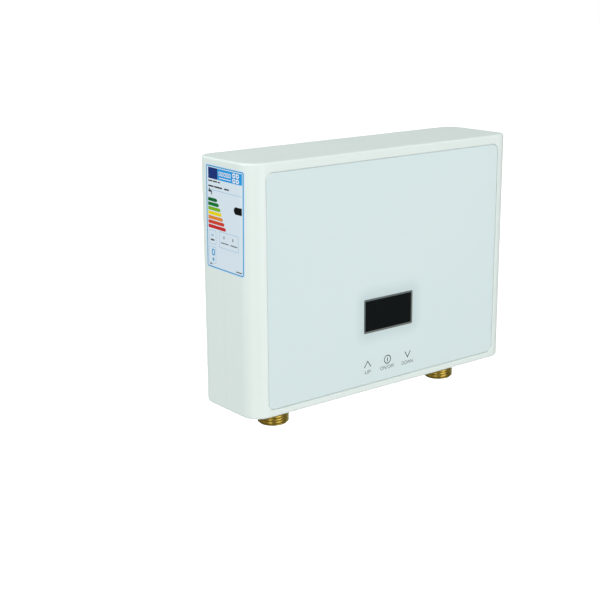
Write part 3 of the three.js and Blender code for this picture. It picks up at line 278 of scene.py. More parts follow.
def combine(operation, piece, others):
    for other in others:
        modify(piece, "BOOLEAN", object=other, operation=operation, solver="MANIFOLD")
        bpy.data.objects.remove(other)
    return piece


def join(piece, *others):
    return combine("UNION", piece, others)


def cut(piece, *others):
    return combine("DIFFERENCE", piece, others)


def drawn_line(name, points):
    """A line of edges, extruded from corner to corner."""
    deselect()
    bpy.ops.mesh.primitive_plane_add(size=MM)
    piece = new_piece(name)
    edit_all(piece)
    bpy.ops.mesh.merge(type="CENTER")
    bpy.ops.transform.translate(value=Vector(points[0]) * MM)
    for start, end in zip(points, points[1:]):
        step = (Vector(end) - Vector(start)) * MM
        bpy.ops.mesh.extrude_vertices_move(TRANSFORM_OT_translate={"value": step})
    return leave(piece)


def close_up(piece):
    """Merges what coincides and turns all faces outwards."""
    edit_all(piece)
    bpy.ops.mesh.remove_doubles(threshold=1e-6)
    bpy.ops.mesh.normals_make_consistent(inside=False)
    return leave(piece)


def turned(name, profile, axis, place, sides=48):
    """A turned piece. Its profile lists radius and distance along the axis from the place."""
    line = {
        "Y": [(radius, along, 0) for radius, along in profile],
        "Z": [(radius, 0, along) for radius, along in profile],
    }[axis]
    piece = drawn_line(name, line)
    edit_all(piece)
    direction = (0, 1, 0) if axis == "Y" else (0, 0, 1)
    bpy.ops.mesh.spin(steps=sides, angle=2 * math.pi, center=(0, 0, 0), axis=direction)
    close_up(piece)
    piece.location = Vector(place) * MM
    return settle(piece)


def rod(name, radius, low, high, axis, place, sides=48):
    return turned(name, [(0, low), (radius, low), (radius, high), (0, high)], axis, place, sides)


def arc(middle, radius, start, end, steps=5):
    """Profile points of a rounding between two angles in degrees."""
    points = []
    for i in range(steps + 1):
        angle = math.radians(start + (end - start) * i / steps)
        points.append((middle[0] + radius * math.cos(angle), middle[1] + radius * math.sin(angle)))
    return points


def smooth(piece, angle=30):
    """Smooth shading that leaves flat faces flat beside their roundings."""
    pick(piece)
    bpy.ops.object.shade_smooth_by_angle(angle=math.radians(angle))
    return modify(piece, "WEIGHTED_NORMAL", keep_sharp=True)


def copy_of(piece, name):
    pick(piece)
    bpy.ops.object.duplicate(linked=False)
    return new_piece(name)


def moved(piece, x=0, y=0, z=0):
    piece.location = Vector((x, y, z)) * MM
    return settle(piece)


# Materials

# The values that noise mostly keeps between, for a node that spreads them over a range
SPREAD = {"From Min": 0.3, "From Max": 0.7}


def linear(hex_colour):
    """An sRGB hex colour as linear red, green, blue and alpha."""
    channels = [int(hex_colour[i:i + 2], 16) / 255 for i in (1, 3, 5)]
    return [c / 12.92 if c <= 0.04045 else ((c + 0.055) / 1.055) ** 2.4 for c in channels] + [1]


def add(tree, kind, inputs=None, **settings):
    """Adds a shader node with its settings, sets or links its inputs, and gives its outputs back."""
    node = tree.nodes.new(f"ShaderNode{kind}")
    for key, value in settings.items():
        setattr(node, key, value)
    for socket, value in (inputs or {}).items():
        if isinstance(value, bpy.types.NodeSocket):
            tree.links.new(value, node.inputs[socket])
        else:
            node.inputs[socket].default_value = value
    return node.outputs


def new_material(name):
    material = bpy.data.materials.new(name)
    material.use_nodes = True
    tree = material.node_tree
    tree.nodes.clear()
    return material, tree, add(tree, "TexCoord")["Object"]


def surface(tree, inputs):
    """Ends a material with the shader that has these inputs."""
    add(tree, "OutputMaterial", {"Surface": add(tree, "BsdfPrincipled", inputs)[0]})


def grained(name, light, dark, patch, roughness, grain, depth, stretch=(1, 1, 1), **inputs):
    """A finish with slow patches of two near colours and a fine grain that wanders in roughness and height.
    Patch, grain and depth are in millimetres, and a stretch below 1 draws the grain out along that axis."""
    material, tree, places = new_material(name)
    drawn = add(tree, "Mapping", {"Vector": places, "Scale": stretch})[0]
    fine = add(tree, "TexNoise", {"Vector": drawn, "Scale": 1 / (grain * MM)})[0]
    patches = add(tree, "TexNoise", {"Vector": places, "Scale": 1 / (patch * MM)})[0]
    low, high = roughness
    surface(tree, {
        "Base Color": add(tree, "Mix", {0: patches, 6: linear(dark), 7: linear(light)}, data_type="RGBA")[2],
        "Roughness": add(tree, "MapRange", {"Value": fine, **SPREAD, "To Min": low, "To Max": high})[0],
        "Normal": add(tree, "Bump", {"Height": fine, "Distance": depth * MM})[0],
        **inputs,
    })
    return material


def printed(name, colour, roughness, **inputs):
    """Screen-printed ink: one colour with the faint mottling of the mesh it went through. A real mesh is
    finer than 0.7 mm, and the mottling is drawn that coarse so that it shows."""
    material, tree, places = new_material(name)
    shade = linear(colour)
    thin = [channel * 0.9 for channel in shade[:3]] + [1]
    mottle = add(tree, "TexNoise", {"Vector": places, "Scale": 1 / (0.7 * MM)})[0]
    uneven = {"Value": mottle, **SPREAD, "To Min": roughness, "To Max": roughness + 0.06}
    surface(tree, {
        "Base Color": add(tree, "Mix", {0: mottle, 6: thin, 7: shade}, data_type="RGBA")[2],
        "Roughness": add(tree, "MapRange", uneven)[0],
        **inputs,
    })
    return material


def moulded_abs():
    """Injection-moulded ABS, cool white: a soft sheen and the faint orange peel of a polished mould."""
    return grained("moulded_abs", "#e8f2ee", "#e4efea", 60, (0.36, 0.44), 0.9, 0.004, IOR=1.53)


def nearness(tree, places, x, z, reach):
    """1 on a rectangle of the front, falling to 0 at that many millimetres outside it."""
    middle = Vector((sum(x) / 2, 0, sum(z) / 2)) * MM
    half = Vector(((x[1] - x[0]) / 2, DEPTH, (z[1] - z[0]) / 2)) * MM
    away = add(tree, "VectorMath", {0: places, 1: middle}, operation="SUBTRACT")[0]
    quarter = add(tree, "VectorMath", {0: away}, operation="ABSOLUTE")[0]
    beyond = add(tree, "VectorMath", {0: quarter, 1: half}, operation="SUBTRACT")[0]
    outside = add(tree, "VectorMath", {0: beyond, 1: (0, 0, 0)}, operation="MAXIMUM")[0]
    gap = add(tree, "VectorMath", {0: outside}, operation="LENGTH")["Value"]
    fall = {"Value": gap, "From Max": reach * MM, "To Min": 1, "To Max": 0}
    return add(tree, "MapRange", fall, interpolation_type="SMOOTHSTEP")[0]


def back_painted_glass():
    """Toughened float glass with pale blue-grey paint behind it: glossy and flat but for the slow waves that
    the oven leaves. The paint stops short of the edge, and round the window a soft shadow of the display is
    painted in as darker paint."""
    material, tree, places = new_material("back_painted_glass")
    patches = add(tree, "TexNoise", {"Vector": places, "Scale": 1 / (90 * MM)})[0]
    paint = add(tree, "Mix", {0: patches, 6: linear("#dbebeb"), 7: linear("#dfeeee")}, data_type="RGBA")[2]
    # Painted shadow: the paint darkens towards the display window, where the display's shadow would fall.
    display_shadow = nearness(tree, places, DISPLAY_X, DISPLAY_Z, 13)
    shaded = add(tree, "Mix", {0: display_shadow, 6: paint, 7: linear("#cedfe1")}, data_type="RGBA")[2]
    bare = 0.9
    painted_x = (bare - GLASS_X, GLASS_X - bare)
    painted = nearness(tree, places, painted_x, (GLASS_FOOT + bare, GLASS_TOP - bare), 0.3)
    smears = add(tree, "TexNoise", {"Vector": places, "Scale": 1 / (9 * MM), "Detail": 4})[0]
    waves = add(tree, "TexNoise", {"Vector": places, "Scale": 1 / (35 * MM), "Detail": 0})[0]
    surface(tree, {
        "Base Color": add(tree, "Mix", {0: painted, 6: linear("#d6e5e6"), 7: shaded}, data_type="RGBA")[2],
        "Roughness": add(tree, "MapRange", {"Value": smears, **SPREAD, "To Min": 0.03, "To Max": 0.07})[0],
        "Normal": add(tree, "Bump", {"Height": waves, "Distance": 0.02 * MM})[0],
        "IOR": 1.52,
    })
    return material


def window_surround():
    """The wall round the display behind the clear window: in shade above and at the left, lit at the bottom
    and at the right, with the slight unevenness of the paint's cut edge."""
    material, tree, places = new_material("window_surround")
    parts = add(tree, "SeparateXYZ", {"Vector": places})
    foot, right = WINDOW_Z[0], WINDOW_X[1]
    below = {"Value": parts["Z"], "From Min": (foot + 0.5) * MM, "From Max": (foot - 0.3) * MM}
    beside = {"Value": parts["X"], "From Min": (right - 0.3) * MM, "From Max": (right + 0.3) * MM}
    sides = {0: add(tree, "MapRange", below)[0], 1: add(tree, "MapRange", beside)[0]}
    lit = add(tree, "Math", sides, operation="MAXIMUM")[0]
    patches = add(tree, "TexNoise", {"Vector": places, "Scale": 1 / (2 * MM)})[0]
    shade = add(tree, "Mix", {0: patches, 6: linear("#5c6664"), 7: linear("#6a7472")}, data_type="RGBA")[2]
    fine = add(tree, "TexNoise", {"Vector": places, "Scale": 1 / MM})[0]
    surface(tree, {
        "Base Color": add(tree, "Mix", {0: lit, 6: shade, 7: linear("#70746f")}, data_type="RGBA")[2],
        "Roughness": add(tree, "MapRange", {"Value": fine, **SPREAD, "To Min": 0.1, "To Max": 0.2})[0],
        "Specular IOR Level": 0.2,
    })
    return material


def machined_brass():
    """Turned brass: yellow, bright on the crests, with a thin uneven dulling film and rings from the tool."""
    material, tree, places = new_material("machined_brass")
    film = add(tree, "TexNoise", {"Vector": places, "Scale": 1 / (5 * MM), "Detail": 3})[0]
    drawn = add(tree, "Mapping", {"Vector": places, "Scale": (0.02, 0.02, 1)})[0]
    rings = add(tree, "TexNoise", {"Vector": drawn, "Scale": 1 / (0.3 * MM)})[0]
    dulled = {0: film, 6: linear("#d6c066"), 7: linear("#e4d07a")}
    surface(tree, {
        "Base Color": add(tree, "Mix", dulled, data_type="RGBA")[2],
        "Metallic": 1,
        "Roughness": add(tree, "MapRange", {"Value": film, **SPREAD, "To Min": 0.26, "To Max": 0.34})[0],
        "Normal": add(tree, "Bump", {"Height": rings, "Distance": 0.001 * MM})[0],
    })
    return material


def nitrile_rubber():
    """Moulded nitrile rubber: near black and dull, with a dusty bloom."""
    return grained("nitrile_rubber", "#2d2e2f", "#1d1e1f", 3, (0.6, 0.8), 0.3, 0.01, IOR=1.52)


def zinc_plated_steel():
    """Bright zinc on steel: cool grey, with small dull spots."""
    return grained("zinc_plated_steel", "#c5c9cd", "#a5aab0", 2, (0.22, 0.36), 0.2, 0.003, Metallic=1)


def drawn_stainless():
    """Drawn stainless tube: fine lines along it and the straw tint that heat leaves."""
    along = (0.1, 1, 1)
    return grained("drawn_stainless", "#cbc7be", "#aea89b", 8, (0.25, 0.4), 0.2, 0.004, along, Metallic=1)


def cast_aluminium():
    """Die-cast aluminium: matt light grey with a pebbled skin."""
    return grained("cast_aluminium", "#bbbec0", "#9fa3a6", 12, (0.42, 0.58), 0.6, 0.03, Metallic=1)


def punched_copper():
    """Punched copper strip with a little brown tarnish."""
    along = (0.1, 1, 1)
    return grained("punched_copper", "#cb865c", "#a5623e", 3, (0.28, 0.42), 0.2, 0.004, along, Metallic=1)


def foam_tape():
    """Closed-cell foam tape: matt, with small cells."""
    return grained("foam_tape", "#d2d5d4", "#b7bbba", 2, (0.85, 0.95), 0.5, 0.05)


def spark_grained(name, light, dark):
    """A small nylon or PBT moulding from a spark-eroded mould: even colour and a fine matt grain."""
    return grained(name, light, dark, 6, (0.4, 0.52), 0.3, 0.006, IOR=1.52)


def extruded_pvc(name, light, dark):
    """PVC wire insulation: smooth, with slow flow marks."""
    return grained(name, light, dark, 5, (0.34, 0.44), 0.4, 0.004, IOR=1.53)


def earth_pvc():
    """Green insulation with a yellow stripe that winds round the wire, about once in 20 mm."""
    material, tree, places = new_material("earth_pvc")
    # Diagonal bands repeat along each axis once in pi / 5 of the wave's unit
    winding = {"Vector": places, "Scale": math.pi / 5 / (19.8 * MM), "Distortion": 0.6}
    bands = add(tree, "TexWave", winding, bands_direction="DIAGONAL")["Fac"]
    stripe = add(tree, "MapRange", {"Value": bands, "From Min": 0.62, "From Max": 0.68})[0]
    fine = add(tree, "TexNoise", {"Vector": places, "Scale": 1 / (0.4 * MM)})[0]
    striped = {0: stripe, 6: linear("#2f8a3a"), 7: linear("#e3cf33")}
    surface(tree, {
        "Base Color": add(tree, "Mix", striped, data_type="RGBA")[2],
        "Roughness": add(tree, "MapRange", {"Value": fine, **SPREAD, "To Min": 0.34, "To Max": 0.44})[0],
        "Normal": add(tree, "Bump", {"Height": fine, "Distance": 0.004 * MM})[0],
        "IOR": 1.53,
    })
    return material


def board_laminate():
    """Glass-epoxy board under green solder mask: glossy, with copper tracks that show lighter and a fine
    weave. The tracks are 0.8 mm wide and 3.7 mm apart, and the weave has 2.4 threads in a millimetre."""
    material, tree, places = new_material("board_laminate")
    upright = add(tree, "Mapping", {"Vector": places, "Rotation": (math.pi / 2, 0, 0)})[0]
    tracks = add(tree, "TexBrick", {
        "Vector": upright, "Scale": 60, "Mortar Size": 0.05, "Brick Width": 0.6, "Row Height": 0.22,
        "Color1": linear("#1f6b45"), "Color2": linear("#236f49"), "Mortar": linear("#2d8257"),
    })["Color"]
    weave = add(tree, "TexChecker", {"Vector": places, "Scale": 2.4 / MM})["Fac"]
    patches = add(tree, "TexNoise", {"Vector": places, "Scale": 1 / (3 * MM)})[0]
    surface(tree, {
        "Base Color": tracks,
        "Roughness": add(tree, "MapRange", {"Value": patches, **SPREAD, "To Min": 0.26, "To Max": 0.36})[0],
        "Normal": add(tree, "Bump", {"Height": weave, "Distance": 0.003 * MM})[0],
        "IOR": 1.55,
    })
    return material


def flat_cable():
    """Grey flat cable: round ridges side by side, one every 2.5 mm."""
    material, tree, places = new_material("flat_cable")
    # Straight bands repeat once in pi / 10 of the wave's unit
    ridges = add(tree, "TexWave", {"Vector": places, "Scale": math.pi / 10 / (2.514 * MM)})["Fac"]
    fine = add(tree, "TexNoise", {"Vector": places, "Scale": 1 / (0.5 * MM)})[0]
    ridged = {0: ridges, 6: linear("#8d9193"), 7: linear("#b3b7b9")}
    surface(tree, {
        "Base Color": add(tree, "Mix", ridged, data_type="RGBA")[2],
        "Roughness": add(tree, "MapRange", {"Value": fine, **SPREAD, "To Min": 0.4, "To Max": 0.5})[0],
        "Normal": add(tree, "Bump", {"Height": ridges, "Distance": 0.2 * MM})[0],
        "IOR": 1.53,
    })
    return material


def vinyl_film():
    """Label film, white with a pale blue tint, smooth and a little glossy."""
    sheen = {"IOR": 1.5, "Specular IOR Level": 0.3}
    return grained("vinyl_film", "#e0ecf6", "#dce9f4", 20, (0.34, 0.4), 0.5, 0.002, **sheen)


def finish(piece, material, slot=None, *nodes):
    """Gives a finished piece its material, puts it on the case's body and hides the nodes that it stands for.
    The slot is not used.
    """
    piece.data.materials.clear()
    piece.data.materials.append(material)
    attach(piece, "case")
    if nodes:
        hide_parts(*nodes)


def dress(material, *nodes):
    for node in nodes:
        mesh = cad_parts[node].data
        mesh.materials.clear()
        mesh.materials.append(material)


# Case


def case_form():
    """Both shells as one solid: large roundings on the upright edges and small rims above and below."""
    x, z = (-HALF_WIDTH, HALF_WIDTH), (-HALF_HEIGHT, HALF_HEIGHT)
    form = rounded_block("case_form", x, (-DEPTH, 0), z, 2, CORNER, 28)
    return round_edges(form, lies_on(2, *z), RIM, 6)


def core():
    x, z = (-INNER_X, INNER_X), (-INNER_Z, INNER_Z)
    return rounded_block("core", x, (LEDGE_BACK, -WALL), z, 2, CORNER - WALL, 12)


def tongue(width, y):
    """The tongue, or its groove, that runs round inside the joint of the shells."""
    ring = cuboid("tongue", (-INNER_X - width, INNER_X + width), y, (-INNER_Z - width, INNER_Z + width))
    return cut(ring, cuboid("inside", (-INNER_X, INNER_X), (y[0] - 1, y[1] + 1), (-INNER_Z, INNER_Z)))


def floor_holes():
    """Holes for the nipples and the grommet, half in each shell."""
    ends = (-HALF_HEIGHT - 1, -INNER_Z + 1)
    return [
        rod("hole", PIPE_HOLE, *ends, "Z", (PIPE_X, SEAM, 0), 64),
        rod("hole", PIPE_HOLE, *ends, "Z", (-PIPE_X, SEAM, 0), 64),
        rod("hole", GROMMET_HOLE, *ends, "Z", (0, SEAM, 0)),
    ]


def four_places(x, heights):
    """The same place on the right and on the left, at each height."""
    return [(side, z) for z in heights for side in (x, -x)]


def countersunk(radius, bottom, x, z):
    """A cutter for a hole from the back whose mouth has a small rounding."""
    flare = 0.4
    mouth = [(0, bottom), (radius, bottom)] + arc((radius + flare, -flare), flare, 180, 90, 3)
    return turned("hole", mouth + [(radius + flare, 1), (0, 1)], "Y", (x, 0, z))


def screw_hole(low, high, x, z):
    """A cutter for a screw's shank or thread."""
    return rod("hole", SCREW_HOLE, low, high, "Y", (x, 0, z), 24)


def keyhole(x):
    """A cutter for the screw head's hole with its slot above."""
    floor = -WALL - 1
    width, heights = around(x, KEYHOLE_SLOT), (KEYHOLE_Z, KEYHOLE_TOP)
    slot = rounded_block("slot", width, (floor, 1), heights, 1, KEYHOLE_SLOT / 2 - 0.01, 8)
    return join(countersunk(KEYHOLE_RADIUS, floor, x, KEYHOLE_Z), slot)


def half_case(form, keep):
    half = cut_plane(form, 1, SEAM, keep)
    return cut(round_edges(half, lies_on(1, SEAM), SEAM_EDGE, 2), core())


def rear_shell(form):
    """The rear half, with its bosses, its standoffs and the ribs that keep the nipples in place."""
    shell = join(half_case(form, "high"), tongue(TONGUE_WIDTH, (SEAM - TONGUE_HEIGHT, SEAM + 1)))
    for x, z in four_places(BOSS_X, (BOSS_Z, -BOSS_Z)):
        join(shell, rod("boss", BOSS_RADIUS, SEAM, BOSS_ROOT, "Y", (x, 0, z)))
        cut(shell, countersunk(HEAD_HOLE, SCREW_SEAT, x, z), screw_hole(SEAM - 1, 1, x, z))
    for x in (BLOCK_BOSS_X, -BLOCK_BOSS_X):
        join(shell, rod("boss", BLOCK_BOSS_RADIUS, BLOCK_BOSS_FACE, BOSS_ROOT, "Y", (x, 0, BLOCK_BOSS_Z)))
        cut(shell, screw_hole(BLOCK_BOSS_FACE - 1, BLOCK_BOSS_FACE + BLOCK_HOLE_DEPTH, x, BLOCK_BOSS_Z))
    for x, z in four_places(STANDOFF_X, STANDOFF_Z):
        join(shell, rod("standoff", STANDOFF_RADIUS, STANDOFF_FACE, BOSS_ROOT, "Y", (x, 0, z), 32))
        cut(shell, screw_hole(STANDOFF_FACE - 1, STANDOFF_FACE + STANDOFF_HOLE_DEPTH, x, z))
    foot, top = KEEPER_Z
    for x in (PIPE_X, -PIPE_X):
        rib = cuboid("keeper_rib", around(x, KEEPER_WIDTH), (SEAM, BOSS_ROOT), KEEPER_Z)
        join(shell, cut(rib, rod("hole", KEEPER_HOLE, foot - 1, top + 1, "Z", (x, SEAM, 0))))
    return smooth(cut(shell, keyhole(KEYHOLE_X), keyhole(-KEYHOLE_X), *floor_holes()))


def display_post(x, z):
    """A post whose peg goes through the display board, its end spread by heat to hold the board."""
    foot, board_front, board_back = LEDGE_BACK - 1, -47.2, -45.3
    post, peg, head = 3, 1.4, 2.4
    profile = [(0, foot), (post, foot), (post, board_front), (peg, board_front), (peg, board_back)]
    return turned("post", profile + arc((0, board_back), head, 0, 90), "Y", (x, 0, z), 24)


def recess():
    """A cutter for the glass's recess. Its mouth flares, so that the recess gets a rounded lip."""
    x, z = (-GLASS_X - GROOVE, GLASS_X + GROOVE), (GLASS_FOOT - GROOVE, GLASS_TOP + GROOVE)
    block = rounded_block("recess", x, (LIP - DEPTH, LEDGE_FACE), z, 1, RECESS_CORNER, 12)
    mesh = edit(block, "FACE")
    for face in mesh.faces:
        if face.normal.y < -0.9:
            face.select_set(True)
    bmesh.update_edit_mesh(block.data)
    steps = arc((LIP, 0), LIP, 180, 90) + [(LIP, LIP + 1)]
    for (spread, out), (next_spread, next_out) in zip(steps, steps[1:]):
        bpy.ops.mesh.extrude_region_move(TRANSFORM_OT_translate={"value": (0, (out - next_out) * MM, 0)})
        wider, higher = [(half + next_spread) / (half + spread) for half in (GLASS_X, (z[1] - z[0]) / 2)]
        bpy.ops.transform.resize(value=(wider, 1, higher), center_override=(0, 0, sum(z) / 2 * MM))
    return leave(block)


def front_cover(form):
    """The front half, with the recess for the glass, its bosses and the display board's posts."""
    groove = tongue(TONGUE_WIDTH + TONGUE_PLAY, (SEAM - TONGUE_HEIGHT - TONGUE_PLAY, SEAM + 1))
    opening = cuboid("opening", OPENING_X, (-DEPTH - 1, LEDGE_BACK + 1), OPENING_Z)
    cover = cut(half_case(form, "low"), recess(), opening, groove)
    for x, z in four_places(BOSS_X, (BOSS_Z, -BOSS_Z)):
        join(cover, rod("boss", BOSS_RADIUS, LEDGE_BACK - 1, SEAM, "Y", (x, 0, z)))
        cut(cover, screw_hole(SEAM - BOSS_HOLE_DEPTH, SEAM + 1, x, z))
    for x, z in four_places(POST_X, POST_Z):
        join(cover, display_post(x, z))
    return smooth(cut(cover, *floor_holes()))


# Glass, its display window and its touch keys


def glass_panel():
    depth, height = (GLASS_FRONT, GLASS_BACK), (GLASS_FOOT, GLASS_TOP)
    panel = rounded_block("glass_front", (-GLASS_X, GLASS_X), depth, height, 1, GLASS_CORNER, 12)
    round_edges(panel, lies_on(1, GLASS_BACK), GLASS_EDGE / 2, 2)
    return smooth(round_edges(panel, lies_on(1, GLASS_FRONT), GLASS_EDGE, 4))


def ink_plate(name, x, z, radius):
    return rounded_block(name, x, (GLASS_FRONT - INK, GLASS_FRONT), z, 1, radius, 4)


def stroke(name, start, end, width):
    """A printed stroke between two points of the glass, each given as X and Z."""
    bar = cuboid(name, around(0, width), (-INK, 0), (-width / 2, math.dist(start, end) + width / 2))
    lean = math.atan2(end[0] - start[0], end[1] - start[1])
    bar.rotation_euler = (0, lean, 0)
    bar.location = Vector((start[0], GLASS_FRONT, start[1])) * MM
    return settle(bar)


def arrow_mark(name, foot, apex, width):
    """An open arrowhead: two strokes that meet at the apex."""
    right_foot = (2 * apex[0] - foot[0], foot[1])
    return join(stroke(name, foot, apex, width), stroke("stroke", right_foot, apex, width))


def word(name, text, x, z):
    """A key's word in plain capitals, as wide and high as it is printed."""
    deselect()
    bpy.ops.object.text_add()
    letters = bpy.context.active_object
    letters.data.body = text
    letters.data.offset = -0.006
    letters.data.extrude = 0.01
    bpy.ops.object.convert(target="MESH")
    letters = close_up(new_piece(name))
    places = [corner.co for corner in letters.data.vertices]
    low = Vector([min(place[i] for place in places) for i in range(3)])
    size = Vector([max(place[i] for place in places) for i in range(3)]) - low
    letters.matrix_world = (
        Matrix.Translation(Vector((x[0], GLASS_FRONT, z[0])) * MM)
        @ Matrix.Rotation(math.pi / 2, 4, "X")
        @ Matrix.Diagonal(((x[1] - x[0]) * MM / size.x, (z[1] - z[0]) * MM / size.y, INK * MM / size.z, 1))
        @ Matrix.Translation(-low)
    )
    return settle(letters)


# Brass nipples and the grommet


def helical_ridge():
    """Ridge and groove of the thread, wound up by one pitch a turn."""
    half = PITCH / 2
    flat = 0.12
    line = [
        (THREAD_ROOT, -half), (THREAD_ROOT, -half + flat), (THREAD_RADIUS, -flat), (THREAD_RADIUS, flat),
        (THREAD_ROOT, half - flat), (THREAD_ROOT, half),
    ]
    ridge = drawn_line("ridge", [(radius, 0, along + NIPPLE_END - PITCH) for radius, along in line])
    modify(
        ridge, "SCREW", angle=2 * math.pi, screw_offset=PITCH * MM, iterations=12, steps=48, render_steps=48,
        use_merge_vertices=True, merge_threshold=1e-6,
    )
    return close_up(ridge)


def threaded_end():
    """The helix cut to length, with its first turns chamfered."""
    thread = cut_plane(cut_plane(helical_ridge(), 2, NIPPLE_END, "high"), 2, THREAD_TOP, "low")
    clear = THREAD_RADIUS + 0.42
    root = 9.2
    top = THREAD_TOP - 0.1
    blank = [
        (0, NIPPLE_END - 1), (MOUTH, NIPPLE_END - 1), (9.1, NIPPLE_END), (clear, NIPPLE_END + 1.7),
        (clear, top - clear + root), (root, top), (root, top + 1.3), (0, top + 1.3),
    ]
    return combine("INTERSECT", thread, [turned("blank", blank, "Z", (0, 0, 0), 64)])


def hexagon():
    """The hexagon inside the case, with its corners turned off."""
    foot, top = HEXAGON_Z
    across_corners = HEXAGON_WIDTH / math.cos(math.pi / 6) / 2
    sides = [(0, foot), (across_corners, foot), (across_corners, top), (0, top)]
    nut = turned("hexagon", sides, "Z", (0, 0, 0), 6)
    chamfered = [(0, foot), (13, foot), (13.9, foot + 0.5), (13.9, top - 0.5), (13, top), (0, top)]
    return combine("INTERSECT", nut, [turned("disc", chamfered, "Z", (0, 0, 0), 64)])


def nipple():
    """A nipple on the Z axis: the thread, a neck through the case's floor, the hexagon and the plug that goes
    into the fitting inside, with a groove for its seal."""
    neck, plug, seal_floor = 9.9, 9.3, 7.6
    seal_low, seal_high = -67.9, -65.1
    neck_low, neck_high = -HALF_HEIGHT, HEXAGON_Z[1] - 0.5
    outside = [
        (0, neck_low - 1), (neck - 0.7, neck_low - 1), (neck, neck_low), (neck, neck_high), (plug, neck_high),
        (plug, seal_low), (seal_floor, seal_low), (seal_floor, seal_high), (plug, seal_high),
        (plug, NIPPLE_TOP - 0.5), (plug - 0.5, NIPPLE_TOP), (0, NIPPLE_TOP),
    ]
    step = NIPPLE_END + 9
    inside = [
        (0, NIPPLE_END - 1), (MOUTH, NIPPLE_END - 1), (WIDE_BORE, NIPPLE_END + 0.4), (WIDE_BORE, step),
        (BORE, step), (BORE, NIPPLE_TOP - 0.5), (BORE + 0.5, NIPPLE_TOP), (BORE + 0.5, NIPPLE_TOP + 1.5),
        (0, NIPPLE_TOP + 1.5),
    ]
    blank = join(threaded_end(), turned("neck", outside, "Z", (0, 0, 0), 64), hexagon())
    return smooth(cut(blank, turned("bore", inside, "Z", (0, 0, 0), 64)))


def cable_grommet():
    """A rubber grommet with a rounded flange on each side of the wall and a mouth that flares."""
    foot, top = GROMMET_Z
    edge = 1.5
    flare = 1.2
    profile = (
        arc((GROMMET_BORE + flare, foot + flare), flare, 180, 270, 4)
        + arc((GROMMET_FLANGE - edge, foot + edge), edge, 270, 360)
        + [(radius, GROMMET_GROOVE[0]) for radius in (GROMMET_FLANGE, GROMMET_NECK)]
        + [(radius, GROMMET_GROOVE[1]) for radius in (GROMMET_NECK, GROMMET_FLANGE)]
        + arc((GROMMET_FLANGE - edge, top - edge), edge, 0, 90)
        + arc((GROMMET_BORE + flare, top - flare), flare, 90, 180, 4)
    )
    return smooth(turned("rubber_grommet", profile + profile[:1], "Z", (0, SEAM, 0)), 50)


def case_screw():
    """A pan-head screw with a cross recess, its head towards the back."""
    radius, thread, side, rounding = 3, 1.45, 0.7, 1.8
    head = [(0, 0), (thread, 0), (radius, 0), (radius, side)]
    head += arc((radius - rounding, side), rounding, 0, 75)[1:] + [(0, side + rounding)]
    shank = [(0, -15), (0.5, -14.6), (thread, -12.6), (thread, 0.2), (0, 0.2)]
    screw = join(turned("screw", head, "Y", (0, 0, 0), 32), turned("shank", shank, "Y", (0, 0, 0), 24))
    broad, narrow = around(0, 3.2), around(0, 0.7)
    for x, z in ((narrow, broad), (broad, narrow)):
        cut(screw, cuboid("slot", x, (1, 3), z))
    return smooth(screw)


# Label


def side_cut(name, y, z, radius=0):
    """A flat cut of film or ink beside the case, facing away from it."""
    deselect()
    middle = Vector((-HALF_WIDTH - 10, sum(y) / 2, sum(z) / 2)) * MM
    bpy.ops.mesh.primitive_plane_add(size=MM, location=middle, rotation=(0, -math.pi / 2, 0))
    bpy.context.active_object.scale = (z[1] - z[0], y[1] - y[0], 1)
    flat = new_piece(name)
    if radius:
        edit_all(flat)
        bpy.ops.mesh.bevel(offset=radius * MM, segments=4, affect="VERTICES")
        leave(flat)
    return flat


def side_frame(name, y, z, width, radius=0.3):
    """A rectangle drawn as a line."""
    flat = side_cut(name, y, z, radius)
    edit_all(flat)
    bpy.ops.mesh.inset(thickness=width * MM)
    bpy.ops.mesh.delete(type="FACE")
    return leave(flat)


def pointed_bar(name, y, z, height, point):
    """A bar from the first to the second Y, with a blunt point beyond the second."""
    flat = side_cut(name, sorted(y), around(z, height))
    mesh = edit(flat, "EDGE")
    for side in mesh.edges:
        if all(near(end.co.y / MM, y[1]) for end in side.verts):
            side.select_set(True)
    bmesh.update_edit_mesh(flat.data)
    step = math.copysign(point, y[1] - y[0])
    bpy.ops.mesh.extrude_edges_move(TRANSFORM_OT_translate={"value": (0, step * MM, 0)})
    bpy.ops.transform.resize(value=(1, 1, 0.3), center_override=(0, 0, z * MM))
    return close_up(leave(flat))


def laid_on_side(piece, lift, thickness):
    """Turns a flat cut by the label's slight slant, bends it round the case's rounding and gives it a
    thickness. It is divided at each millimetre of the rounding, so that it can bend."""
    middle = Matrix.Translation(Vector((0, -32, 43.2)) * MM)
    piece.matrix_world = middle @ Matrix.Rotation(math.radians(LABEL_SLANT), 4, "X") @ middle.inverted()
    settle(piece)
    bend = CORNER - DEPTH
    for y in range(bend - 6, bend + 1):
        edit_all(piece)
        bpy.ops.mesh.bisect(plane_co=(0, y * MM, 0), plane_no=(0, 1, 0), threshold=1e-7)
        leave(piece)
    modify(
        piece, "SHRINKWRAP", target=label_ground, wrap_method="PROJECT", use_project_x=True,
        use_positive_direction=True, offset=lift * MM,
    )
    return smooth(modify(piece, "SOLIDIFY", thickness=thickness * MM, offset=1))


def print_on_label(name, colour, *cuts, lift=FILM + 0.01):
    """One ink of the label, printed at several places. A greater lift prints it over another ink."""
    pick(cuts[0])
    for piece in cuts[1:]:
        piece.select_set(True)
    if cuts[1:]:
        bpy.ops.object.join()
    ink = printed(f"{name}_ink", colour, 0.36, **{"Specular IOR Level": 0.12})
    finish(laid_on_side(new_piece(f"label_{name}"), lift, INK), ink)


def rules(z, *stretches):
    """Plain rules in one line of the label, each from one Y to another."""
    return [side_cut("rule", stretch, z) for stretch in stretches]


# The outer pieces

white = moulded_abs()
brass = machined_brass()
rubber = nitrile_rubber()
zinc = zinc_plated_steel()

